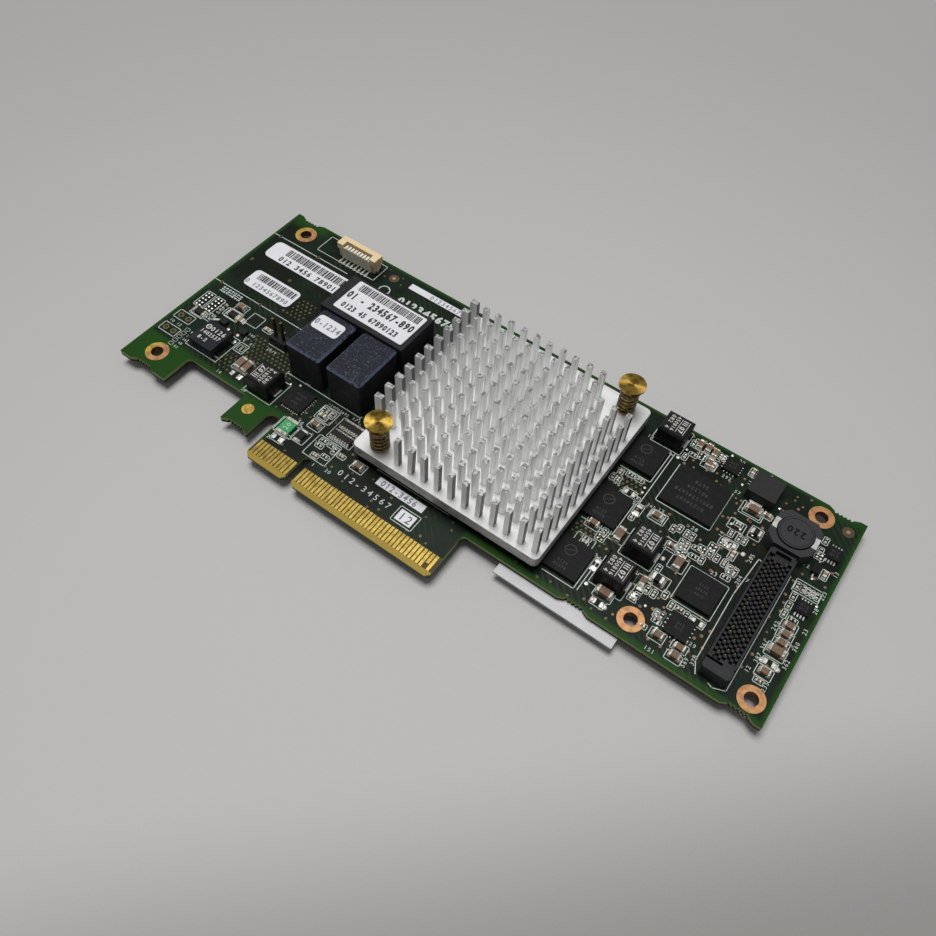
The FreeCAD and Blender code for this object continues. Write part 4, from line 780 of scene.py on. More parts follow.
# what the small parts, their solder and the screened lines are gathered in, one piece for each finish
screen = Shape()
tin = Shape()
tinFillets = Shape()
tabs = Shape()
bodies = {"buff": Shape(), "black": Shape()}
flatLow, flatHigh = top - sunk, top + 0.03
printProud, laserProud = 0.012, 0.004  # how far print and laser marks stand out of a face


def stroke(*points, width=0.2):  # a screened line through points
    screen.line(points, width, flatLow, flatHigh)


def outline(x0, x1, y0, y1, width=0.18):  # a screened rectangle
    screen.frame(x0, x1, y0, y1, width, flatLow, flatHigh)


def figures(text, x, y, height=0.95, angle=0, bold=0.0):  # screened figures, centred on x, y
    screen.numerals(text, x, y, height, angle, flatLow, flatHigh, bold)


def dab(x, y, radius=0.35, height=0.14, sides=10):  # a low dome of solder on a bare pad
    start = len(tinFillets.points)
    for share, z in ((1.0, -sunk), (0.82, 0.6 * height), (0.4, height)):
        reach = radius * share
        tinFillets.points += [(x + reach * c, y + reach * s, top + z) for c, s in around(sides)]
    for level in (0, 1):
        for i in range(sides):
            a, b = start + level * sides + i, start + level * sides + (i + 1) % sides
            tinFillets.faces.append([a, b, b + sides, a + sides])
    tinFillets.faces.append([start + 2 * sides + i for i in range(sides)])
    tinFillets.faces.append([start + i for i in reversed(range(sides))])


def smallPart(x, y, turned, size, tone, boxed=True):
    # a two-ended part of size length x width x height: body, tinned ends, solder fillets and its outline;
    # with no tone it is a pair of bare soldered pads
    length, width, height = size
    part = {"bodyInset": 0.05, "endShare": 0.26, "endProud": 0.03, "filletShare": 0.38, "filletRise": 0.55,
            "bareRise": 0.12, "outlineGap": (0.55, 0.38)}

    def place(u0, u1, v0, v1):  # along and across the part, as a box in plan
        return (x - v1, x - v0, y + u0, y + u1) if turned else (x + u0, x + u1, y + v0, y + v1)

    if tone:
        reach = length / 2 - part["bodyInset"]
        bodies[tone].block(*place(-reach, reach, -width / 2, width / 2), top, top + height)
    endLength = part["endShare"] * length
    for side in (-1, 1):
        inner, outer = side * (length / 2 - endLength), side * length / 2
        u0, u1 = min(inner, outer), max(inner, outer)
        if tone:
            proud = part["endProud"]
            tin.block(*place(u0, u1, -width / 2 - proud, width / 2 + proud), top, top + height + proud)
        reach = part["filletShare"] * width
        base = place(u0 - (reach if side < 0 else 0), u1 + (reach if side > 0 else 0), -width / 2 - 0.08,
                     width / 2 + 0.08)
        roof = place(u0 - (0.05 if side < 0 else 0), u1 + (0.05 if side > 0 else 0), -width / 2, width / 2)
        rise = part["filletRise"] * height if tone else part["bareRise"]
        tinFillets.taper(corners(*base), corners(*roof), top - sunk, top + rise)
    if boxed:
        u, v = length / 2 + part["outlineGap"][0], width / 2 + part["outlineGap"][1]
        outline(*place(-u, u, -v, v), width=0.16)


# length, width and height of the sizes that the parts come in
partSizes = {"tiny": (1.0, 0.5, 0.36), "small": (1.6, 0.8, 0.45), "smallCap": (1.6, 0.85, 0.85)}


def leftCorner():
    # the front corner at the bracket end: bare pads in rows, screened outlines and figures, a few parts
    for x0, columns in ((-81.7, (-81.0, -80.0)), (-78.4, (-77.7, -76.6))):
        outline(x0, x0 + 2.8, -8.2, -2.6)
        for x in columns:
            for y in (-3.2, -4.2, -5.4, -6.6, -7.6):
                dab(x, y, 0.34)
    outline(-80.0, -76.0, -10.6, -8.2)
    for row in range(7):
        figures("284"[row % 3] + "61"[row % 2] + "9", -79.4 + 0.98 * row, 0.2, 0.8, 90, 0.04)
    for y in (-3.5, -4.8, -5.8, -8.5, -9.8):
        smallPart(-74.8, y, 0, partSizes["tiny"], "black", y < -8)
    smallPart(-60.2, -3.6, 0, partSizes["small"], "buff")
    outline(-62.7, -59.9, -13.4, -10.4)
    for x in (-62.2, -61.1):
        outline(x, x + 0.8, -12.8, -11.0, 0.12)
    for x, y in ((-68.2, -9.3), (-65.0, -9.3), (-64.0, -11.3)):
        dab(x, y, 0.5, 0.25)
    for x, y in ((-70.6, -8.3), (-64.4, -7.9)):
        bodies["black"].block(x - 1.1, x + 1.1, y - 0.85, y + 0.85, top, top + 0.85)
        figures("6", x + 1.9, y - 1.6, 0.8)
    stroke((-73.4, -8.9), (-72.0, -8.0), width=0.6)
    smallPart(-67.9, -5.2, 0, (1.9, 1.3, 0.55), "buff", False)
    outline(-73.4, -68.9, -6.3, -3.6)
    outline(-66.9, -63.1, -5.0, -1.1)
    for y in (-14.3, -19.4):
        outline(-82.4, -77.1, y, y + 2.8)
    for number, x in (("10", -81.4), ("12", -79.0)):
        figures(number, x, -15.5, 0.9)
    for i in range(5):
        figures("0123456789"[2 * i:2 * i + 2], -74.4, -3.6 - 1.5 * i, 0.75)
        figures("9517304862"[2 * i:2 * i + 2], -74.2, -15.6 - 1.4 * i, 0.75)
        outline(-76.6, -75.4, -16.0 - 1.4 * i, -15.1 - 1.4 * i, 0.1)
    for number, x, y in (("140", -62.2, -7.2), ("27", -62.4, -8.8), ("61", -60.0, -9.4)):
        figures(number, x, y, 0.8)
    outline(-73.3, -63.1, -19.0, -10.3, 0.16)
    stroke((-58.5, -17.6), (-54.0, -17.6), (-54.0, -14.3), (-58.5, -14.3), (-58.5, -17.6))
    smallPart(-56.3, -18.9, 0, (2.6, 1.3, 0.5), None, False)
    for number, x, y in (("14", -60.3, -20.6), ("26", -51.6, -21.0)):
        figures(number, x, y, 0.9)
    outline(-52.0, -43.6, -20.9, -13.3)
    stroke((-57.0, -6.6), (-52.0, -6.6))
    figures("2019", -54.8, -8.0, 0.85)
    figures("6", -56.5, -1.6, 0.85)


def longLines():
    # the long screened lines along the edges and between the parts, and the larger figures
    stroke((boardLow[0] + 0.1, 24.3), (-58.0, 24.3))
    stroke((boardLow[0] + 0.1, 1.8), (-54.5, 1.8), (-47.2, 1.8))
    stroke((-47.0, -10.8), (-24.2, -10.8))
    for x in (-47.0, -24.2):
        stroke((x, -10.3), (x, -11.3))
    outline(-70.4, -51.0, 26.6, 32.9)
    stroke((68.6, 11.6), (67.7, 11.9), (66.9, 1.0), (67.2, -17.0), (68.4, -19.6))
    stroke((75.0, 12.2), (75.0, -19.2), (72.4, -20.2), (71.4, -19.8))
    outline(-1.7, 3.8, -28.0, -23.9)
    stroke((-12.0, -19.6), (8.0, -19.6), width=0.16)
    for index, figure in enumerate("012-34567"):
        figures(figure, -17.9 + 1.74 * index, -25.3 - 0.05 * index, 1.6)
    figures("0123456789", -31.6, 25.7, 2.3, 2, 0.05)
    screen.ring(-46.4, 25.6, 1.35, 1.65, flatLow, flatHigh, 28)


def memoryLines():
    # the screened frames and figures round the memory chips, and round the three chokes beside them
    for y0, y1 in ((-18.3, -8.3), (-2.2, 8.2), (15.0, 25.4)):
        stroke((31.5, y1), (39.2, y1), (39.2, y0), (31.5, y0))
        stroke((38.4, y1 - 0.5), (39.9, y1 - 0.5))
    stroke((40.0, 8.2), (40.0, 25.6))
    stroke((40.0, -8.5), (40.0, -18.0))
    stroke((55.8, 23.8), (55.8, 11.7), (42.3, 11.7), (42.3, 23.6))
    for number, x, y, height, angle in (("18", 33.0, 26.6, 0.9, 0), ("15", 33.4, 10.2, 0.9, 0),
                                        ("70", 35.2, 9.0, 0.8, 0), ("17", 44.8, 9.9, 0.9, 0),
                                        ("265", 42.5, 9.6, 0.8, 0), ("14", 58.2, 12.6, 0.9, 90)):
        figures(number, x, y, height, angle)
    outline(56.6, 65.6, -7.9, 1.7, 0.16)
    for x, y in ((41.0, 25.2), (40.8, -15.6)):
        dab(x, y, 0.5)
    for x0, y0 in ((33.2, 25.8), (42.3, -5.2), (40.8, -14.9)):
        outline(x0, x0 + 7.8, y0, y0 + 7.6)


def smallParts():
    # parts of a millimetre or two in the open fields of the board, the bare pads between them, and their
    # screened outlines and figures; places are parts' middles, across or upright in plan
    across = {
        "tiny": [(34.6, 14.1), (37.0, 14.1), (55.6, 6.0), (56.0, 3.8), (59.4, -9.1), (79.2, -13.4),
                 (43.5, 27.9), (35.3, -6.4), (35.3, -7.4), (63.8, 3.4), (60.3, 17.2), (54.9, -16.9),
                 (38.6, 9.3), (79.5, 2.9), (-26.6, -21.0), (-24.2, -21.0), (-26.6, -22.6), (-23.5, -24.2),
                 (-25.6, -25.3), (-20.6, -21.9)],
        "smallCap": [(44.9, 7.9), (51.0, 3.3), (-31.4, -15.8), (64.4, 23.0)],
    }
    upright = {
        "tiny": [(32.4, 13.4), (31.6, 11.3), (33.0, 11.3), (49.2, 7.4), (42.2, 31.0), (48.9, 31.5),
                 (49.9, 31.5), (42.2, 26.3), (52.3, 8.1), (53.5, 8.1), (50.4, 8.3), (52.3, 5.4),
                 (53.5, 5.4), (52.9, 3.0), (54.1, 3.0), (57.8, 4.1), (58.5, 6.7), (60.2, 6.5),
                 (62.1, 6.4), (63.6, 5.9), (64.8, 5.9), (51.3, -3.3), (51.8, -9.2), (53.4, -9.2),
                 (50.7, -11.9), (57.6, -9.3), (61.2, -9.5), (56.0, -12.7), (57.2, -12.7), (77.4, 8.2),
                 (77.4, 5.6), (77.4, 3.2), (78.4, 11.0), (79.4, 11.0), (80.4, 11.0), (81.4, 11.0),
                 (77.1, 11.0), (60.0, 14.1), (62.0, 14.0), (63.2, 14.0), (77.7, 25.0), (77.7, 21.9),
                 (37.5, -2.5), (40.4, 4.6), (55.4, -7.9), (51.2, -6.3), (-32.5, -14.2), (-31.3, -14.0),
                 (-29.9, -14.2), (-22.8, -21.6)],
        "smallCap": [(62.6, 9.2), (80.7, 16.8), (48.7, 27.7), (57.0, 31.9)],
    }
    # each group's first pad, and how many pads it has along and across
    pads = {"rows": [(52.7, 3.4, 2, 3), (49.8, -12.9, 2, 2), (63.8, 5.0, 2, 2), (59.2, 10.6, 3, 2),
                     (56.2, 6.0, 2, 2), (45.0, 28.4, 2, 2), (58.0, 8.0, 2, 2), (56.3, -14.2, 2, 3),
                     (77.6, 20.2, 2, 2), (42.2, -7.0, 2, 2), (37.0, -4.6, 2, 2)],
            "pitchMm": 0.95, "radiusMm": 0.29, "riseMm": 0.12}
    blobs = [(50.9, -0.6), (77.8, -8.9), (81.4, -9.0), (46.7, -18.1), (43.7, -18.0), (64.4, 10.9),
             (60.9, 10.7)]
    bare = {"pairs": [(36.9, 9.7, 0), (40.6, 6.9, 1), (45.0, -18.0, 0), (61.0, 11.5, 0), (79.5, -8.7, 0),
                      (63.7, -9.5, 0), (50.4, -10.9, 1), (40.1, -10.6, 1), (-35.6, -26.8, 0)],
            "size": (2.2, 1.2, 0.5)}
    frames = [(58.2, 62.0, 15.2, 18.0), (63.0, 65.8, 15.6, 19.0), (76.3, 82.2, 9.4, 12.7),
              (-33.3, -28.7, -17.0, -12.7), (58.6, 64.0, 20.3, 23.9), (50.6, 55.0, -7.6, -4.2),
              (43.2, 47.0, 6.4, 9.4), (49.0, 52.9, 1.8, 4.8), (32.9, 37.4, -8.5, -5.7),
              (-28.5, -22.0, -26.3, -20.0), (-34.6, -33.0, -24.6, -21.7), (-38.6, -33.0, -25.4, -21.0)]
    domes = [(59.0, 16.4), (61.2, 16.3), (64.0, 16.6), (64.8, 18.0), (63.6, 18.1), (51.0, 33.4),
             (60.9, 33.5), (82.3, 8.9), (78.9, 14.5), (57.2, -14.6), (57.6, -15.6), (53.3, -12.6),
             (-44.0, -13.0), (-41.9, -11.9), (38.9, 13.0), (39.1, 11.6), (41.6, 28.4), (66.0, 26.6),
             (56.4, 27.4)]
    numbers = [("15", 43.8, 33.1, 0), ("292", 52.6, 27.0, 0), ("57", 56.4, 24.8, 0),
               ("11", 57.6, 28.9, 90), ("20", 53.6, 33.2, 0), ("88", 47.0, -6.6, 90),
               ("20", 44.6, 4.2, 0), ("28", 53.0, 10.2, 0), ("204", 66.3, 4.6, 90), ("23", 61.4, 2.8, 0),
               ("7", 67.9, 5.6, 0), ("205", 66.2, 11.0, 90), ("229", 64.8, -14.5, 0),
               ("569", 65.6, -18.8, 90), ("370", 66.9, -17.3, 90), ("13", 82.7, 18.4, 90),
               ("223", 82.4, 12.0, 90), ("28", 82.5, 7.7, 90), ("23", 82.6, 2.0, 90),
               ("360", 82.4, -2.2, 90), ("362", 82.3, -7.0, 90), ("235", 80.8, -13.8, 90),
               ("242", 77.0, -0.4, 90), ("361", 76.9, -5.6, 90), ("387", 77.0, -9.0, 90),
               ("12", 76.4, -12.4, 90), ("12", 76.6, 16.8, 0), ("47", 61.6, -12.4, 0),
               ("151", 58.6, -20.6, 0), ("31", 62.6, -9.4, 0), ("30", -40.8, -10.2, 0),
               ("171", -24.6, -11.8, 0), ("50", -34.4, -20.2, 0), ("1", -24.2, -27.4, 0),
               ("20", -20.4, -26.8, 0), ("26", -20.6, -17.0, 90), ("27", -37.2, -27.6, 0)]
    dice = random.Random(11)
    for turned, groups in ((0, across), (1, upright)):
        for size, places in groups.items():
            for x, y in places:
                tone = "buff" if size == "smallCap" else dice.choice(("black", "black", "buff"))
                smallPart(x, y, turned, partSizes[size], tone)
    pitch = pads["pitchMm"]
    for x0, y0, columns, rows in pads["rows"]:
        for i in range(columns):
            for j in range(rows):
                dab(x0 + pitch * i, y0 + pitch * j, pads["radiusMm"], pads["riseMm"])
        outline(x0 - 0.6, x0 + pitch * columns - 0.35, y0 - 0.6, y0 + pitch * rows - 0.35, 0.14)
    for x, y in blobs:
        dab(x, y, 0.6, 0.3)
    for x, y, turned in bare["pairs"]:
        smallPart(x, y, turned, bare["size"], None)
    for x0, x1, y0, y1 in frames:
        outline(x0, x1, y0, y1, 0.16)
    for x, y in domes:
        dab(x, y, 0.36)
    for x, y, length, width in ((52.4, -5.8, 2.6, 1.5), (64.4, 17.3, 2.2, 1.4)):
        smallPart(x, y, 0, (length, width, 0.9), "black", False)
    for number, x, y, angle in numbers:
        figures(number, x, y, 0.95, angle)
    figures("14703692", -29.5, -12.0, 0.8)
    tin.block(59.5, 62.6, 23.9, 24.5, top, top + 0.5)


def solderUnderCadParts():
    # tabs, ends and fillets of solder at the parts that the CAD model has, and their screened outlines
    joint = {"tabHalfMm": 1.3, "tabRiseMm": 0.35, "resistorMm": 0.6, "resistorEndMm": 0.5,
             "filletMm": (0.1, 0.25), "nearMm": 0.7, "outlineGapMm": (1.0, 0.7)}
    for low, high in islands("choke_terminals"):  # only a low tab and its fillet show beside the block
        y = middle(low, high)[1]
        tabs.block(low[0], high[0], y - joint["tabHalfMm"], y + joint["tabHalfMm"], top,
                   top + joint["tabRiseMm"])
    resistors, ends, blocks = islands("ceramic_resistors"), Shape(), Shape()
    for low, high in resistors:
        blocks.block(low[0], high[0], low[1], high[1], top, top + joint["resistorMm"])
    for low, high in islands("plated_ends"):
        wide = high[0] - low[0] < high[1] - low[1]
        for a, b in resistors:
            if all(a[i] - joint["nearMm"] < high[i] and low[i] < b[i] + joint["nearMm"] for i in (0, 1)):
                high[2] = top + joint["resistorEndMm"]
        ends.block(low[0], high[0], low[1], high[1], top, high[2])
        small, large = joint["filletMm"]
        growX, growY = (large, small) if wide else (small, large)
        tinFillets.taper(corners(low[0] - growX, high[0] + growX, low[1] - growY, high[1] + growY),
                         corners(low[0] - 0.04, high[0] + 0.04, low[1] - 0.04, high[1] + 0.04),
                         top - sunk, top + 0.5 * (high[2] - low[2]))
    blocks.piece("flat_resistors", resistorGlaze, "ceramic_black", 0.05, ("ceramic_resistors",))
    ends.piece("part_ends", dullSolder, "tin", 0.06, ("plated_ends",))
    gapX, gapY = joint["outlineGapMm"]
    for name in ("ceramic_capacitors", "ceramic_resistors", "resettable_fuse"):
        for low, high in islands(name):
            outline(low[0] - gapX, high[0] + gapX, low[1] - gapY, high[1] + gapY, 0.16)
    for low, high in islands("fan_header_pins"):
        if high[2] < top + 1.0:
            tinFillets.taper(corners(low[0] - 0.15, high[0] + 0.15, low[1] - 0.5, low[1] + 0.7),
                             corners(low[0], high[0], low[1] - 0.1, low[1] + 0.5), top - sunk, top + 0.3)


def flatLeads():
    # the leads that stand out of the clock and regulator chips, and the ends of the resistor arrays
    lead = {"clockCount": 9, "regulatorCount": 4, "halfMm": (0.12, 0.32), "riseMm": 0.16,
            "arrayCount": 8, "arrayHalfMm": (0.13, 0.4), "arrayRiseMm": 0.2, "arrayOutMm": 0.25}
    thin, long = lead["halfMm"]
    boxes = [span("clock_chip") + (lead["clockCount"],)]
    boxes += [(low, high, lead["regulatorCount"]) for low, high in islands("regulator_chips")]
    for low, high, count in boxes:
        for i in range(count):
            x = low[0] + (high[0] - low[0]) * (i + 1) / (count + 1)
            for y in (low[1], high[1]):
                tin.block(x - thin, x + thin, y - long, y + long, top - sunk, top + lead["riseMm"])
        for i in range(count):
            y = low[1] + (high[1] - low[1]) * (i + 1) / (count + 1)
            for x in (low[0], high[0]):
                tin.block(x - long, x + long, y - thin, y + thin, top - sunk, top + lead["riseMm"])
    thin, long = lead["arrayHalfMm"]
    for low, high in islands("resistor_arrays"):
        for i in range(lead["arrayCount"]):
            x = low[0] + (high[0] - low[0]) * (i + 0.5) / lead["arrayCount"]
            for y in (low[1] - lead["arrayOutMm"], high[1] + lead["arrayOutMm"]):
                tin.block(x - thin, x + thin, y - long, y + long, top - sunk, top + lead["arrayRiseMm"])
        outline(low[0] - 0.6, high[0] + 0.6, low[1] - 0.85, high[1] + 0.85, 0.12)


def underside():  # the soldered ends of the through leads, seen only from below
    joint = {"tipMm": 0.25, "footMm": 0.6, "lengthMm": 0.6}
    tip, foot, under = joint["tipMm"], joint["footMm"], boardLow[2]
    for name in ("data_port_tails", "jumper_header_pins"):
        for low, high in islands(name):
            x, y = middle(low, high)
            tinFillets.taper(corners(x - tip, x + tip, y - tip, y + tip),
                             corners(x - foot, x + foot, y - foot, y + foot),
                             under - joint["lengthMm"], under + sunk)


def vias():
    # plated holes and test points in loose fields, clear of the parts; bare rings round the fiducials; and
    # the larger open holes round the two barcode labels and in the front corner at the bracket end
    via = {"closePitchMm": 1.5, "looseShare": 0.42, "rowShare": 0.87, "skipped": 0.2, "shownBelow": 0.5,
           "sizeShares": (0.85, 1.3), "holeShare": 0.4, "clearMm": 0.5, "proudMm": 0.015, "sides": 10}
    copperDots, holes, clearings, bare = Shape(), Shape(), Shape(), Shape()
    dice = random.Random(5)
    # each field's box in plan, its pitch and the radius of its holes
    fields = [(-61.0, -46.0, -13.0, -6.0, 1.25, 0.26), (-62.0, -56.0, 4.0, 10.5, 1.3, 0.26),
              (-63.0, -58.0, -19.0, -14.0, 1.3, 0.26), (31.5, 38.8, -6.2, -3.0, 1.15, 0.27),
              (31.5, 38.8, 10.0, 14.8, 1.15, 0.27), (40.8, 56.5, -6.5, 10.8, 2.6, 0.3),
              (41.5, 56.0, 24.6, 33.0, 2.3, 0.3), (56.6, 66.0, 1.6, 24.0, 2.1, 0.32),
              (49.0, 66.0, -19.0, -8.0, 2.1, 0.32), (76.0, 82.5, -12.0, 24.0, 2.3, 0.3),
              (66.0, 80.0, 26.6, 33.6, 2.2, 0.28), (27.0, 50.0, -24.0, -19.2, 2.4, 0.28),
              (-52.0, -42.0, -3.0, 33.5, 3.6, 0.26), (-20.0, 12.0, -32.0, -20.5, 3.2, 0.26),
              (-42.0, -20.0, -28.0, -12.0, 2.5, 0.28), (-22.6, -19.0, -12.0, 30.0, 2.4, 0.28)]
    # where the outline of the board is cut away, or comes close
    cutAway = [(12.6, 90, -40, boardLow[1] + 13.6), (boardHigh[0] - 1.5, 90, -40, 40), (76.5, 90, 24.5, 40),
               (-90, boardLow[0] + 1.5, -40, 40), (-90, -42.0, -40, -21.2), (-42.6, -38.2, -40, -20.6),
               (-27.5, -24.8, -40, -27.5)]
    # nodes of several solids, each of which keeps its own place clear, and nodes that keep none
    spread = ("regulator_chips", "eight_lead_chips", "ceramic_capacitors", "resistor_arrays",
              "ceramic_resistors", "mounting_hole_rings")
    passed = ("circuit_board", "chip_leads", "plated_ends", "choke_terminals", "fiducial_pads",
              "underside_label", "heatsink", "edge_contacts_bottom", "data_port_tails")
    blocked = [span(name) for name in cadNodes if name not in spread + passed]
    blocked += [box for name in spread for box in islands(name)]
    gap, proud, rowStep = via["clearMm"], via["proudMm"], via["rowShare"]

    def isClear(x, y):
        if any(a < x < b and c < y < d for a, b, c, d in cutAway):
            return False
        return not any(low[0] - gap < x < high[0] + gap and low[1] - gap < y < high[1] + gap
                       for low, high in blocked)

    for x0, x1, y0, y1, pitch, radius in fields:
        even = pitch < via["closePitchMm"]
        loose = 0.0 if even else via["looseShare"] * pitch
        for row in range(int((y1 - y0) / (pitch * rowStep)) + 1):
            for column in range(int((x1 - x0) / pitch) + 1):
                x = x0 + pitch * (column + 0.5 * (row % 2)) + dice.uniform(-loose, loose)
                y = y0 + pitch * rowStep * row + dice.uniform(-loose, loose)
                if not even and dice.random() < via["skipped"]:
                    continue
                if not isClear(x, y):
                    continue
                size = radius * dice.uniform(*via["sizeShares"])
                if x0 > 27 and pitch > 2.0:
                    bare.disc(x, y, size, top - sunk, top + proud, via["sides"])
                else:
                    copperDots.disc(x, y, size, top - sunk, top + proud, via["sides"])
                    # a dark disc in each hole: painted shade
                    holes.disc(x, y, via["holeShare"] * size, top, top + 0.02, 8)
                if dice.random() < via["shownBelow"]:
                    copperDots.disc(x, y, size, boardLow[2] - proud, boardLow[2] + sunk, via["sides"])
    for low, high in islands("fiducial_pads"):
        if high[1] > -20.0:
            clearings.ring(*middle(low, high), 0.6, 1.4, top - sunk, top + 0.012, 24)
    for y in (1.8, 13.0, 24.2):
        for x in (-81.4, -68.0):
            copperDots.disc(x, y, 0.5, top - sunk, top + 0.035, 14)
            # painted shade in the hole
            holes.disc(x, y, 0.28, top, top + 0.04, 10)
    for x in (-81.0, -78.5):
        for y in (-12.9, -18.0):
            copperDots.disc(x, y, 0.85, top - sunk, top + 0.03, 18)
            holes.disc(x, y, 0.48, top, top + 0.036, 14)
    copperDots.piece("via_rings", viaCopper, "copper")
    holes.piece("via_holes", holeShade, "connector_black")
    clearings.piece("fiducial_clearings", bareLaminate, "board")
    bare.piece("test_points", bareDots, "copper")


leftCorner()
longLines()
memoryLines()
smallParts()
solderUnderCadParts()
flatLeads()
underside()
vias()
screen.piece("screened_lines", whiteInk, "paper")
tin.piece("small_part_ends", solder, "tin", 0.04)
tinFillets.piece("solder_fillets", solder, "tin")
tabs.piece("choke_tabs", tinPlate, "tin", 0.06, ("choke_terminals",))
bodies["buff"].piece("small_buff_bodies", capBuff, "ceramic_tan", 0.05)
bodies["black"].piece("small_black_bodies", resistorGlaze, "ceramic_black", 0.04)
print("small parts, solder, vias and lines made")


def label(name, radius, turn=0.0, stock=paper):
    # a rounded sheet in place of the CAD label; gives its middle, its half sizes and its upper face
    low, high = span(name)
    sheet = Shape()
    x, y = middle(low, high)
    halfX, halfY = (high[0] - low[0]) / 2 - 0.1, (high[1] - low[1]) / 2 - 0.1
    sheet.prism(roundedOutline(x - halfX, x + halfX, y - halfY, y + halfY, radius), low[2], high[2])
    turnAbout(sheet, 0, x, y, turn)
    sheet.piece(name + "_sheet", stock, "paper", 0.02, (name,))
    return x, y, halfX, halfY, high[2]


def barcode(shape, x0, x1, y0, y1, level, seed, module=0.18):  # bars of one to three modules, made up
    dice = random.Random(seed)
    x = x0
    while x < x1:
        width = module * dice.choice((1, 1, 2, 2, 3))
        shape.block(x, min(x1, x + width), y0, y1, level - sunk, level + 0.01)
        x += width + module * dice.choice((0.9, 0.9, 0.9, 1.8))


def printed(shape, text, x, y, height, level, angle=0, bold=0.0, squeeze=1.0):  # figures in ink on a face
    shape.numerals(text, x, y, height, angle, level - sunk, level + printProud, bold, squeeze)


def labels():
    # the paper labels with made-up bars and figures, and a painted shadow line along the lower edge of the
    # label under the board; each print is laid out from its own label's middle
    black, grey = Shape(), Shape()
    x, y, w, h, level = label("barcode_label_long", 1.6)
    barcode(black, x - w + 5.0, x + w - 1.6, y - 0.1, y + h - 0.7, level, 1)
    printed(black, "012 3456 78901234", x + 1.6, y - h + 1.5, 1.7, level, 0, 0.035, 0.95)
    x, y, w, h, level = label("barcode_label_short", 1.3)
    barcode(black, x - w + 2.0, x + w - 0.8, y + 0.1, y + h - 0.8, level, 2)
    printed(grey, "0 1234567890", x - 0.4, y - h + 1.5, 1.45, level, 0, 0.03, 0.95)
    start = len(black.points)
    x, y, w, h, level = label("port_label", 0.5, -0.7)
    barcode(black, x - w + 1.4, x + w - 1.0, y + h - 2.9, y + h - 0.5, level, 3, 0.14)
    printed(black, "01 - 234567-890", x - 0.1, y + 0.3, 2.25, level, 0, 0.05, 0.68)
    printed(black, "0123 45 67890123", x - 0.6, y - h + 1.9, 1.65, level, 0, 0.05, 0.74)
    turnAbout(black, start, x, y, -0.7)
    x, y, w, h, level = label("block_label", 1.0)
    printed(grey, "0-1234", x - 0.1, y, 1.8, level, 0, 0.03, 0.8)
    x, y, w, h, level = label("label_strip_top", 0.1)
    printed(grey, "012345678 90", x + 3.0, y, 1.4, level, 0, 0.02)
    x, y, w, h, level = label("label_strip_foot", 0.1)
    printed(grey, "012-3456", x - 0.5, y, 1.6, level, 0, 0.03, 0.9)
    x, y, w, h, level = label("number_label", 0.1)
    printed(black, "12", x, y, 2.1, level)
    x, y, w, h, level = label("underside_label", 0.3, 0.0, shadedPaper)
    # painted shadow: a thin dark line along the lower edge of the label under the board
    black.bar((x - w, y - h + 0.1), (x + w, y - h + 0.1), 0.14, level - sunk, level + 0.01)
    black.piece("label_print_and_shadow_black", blackInk, "paper")
    grey.piece("label_print_grey", greyInk, "paper")


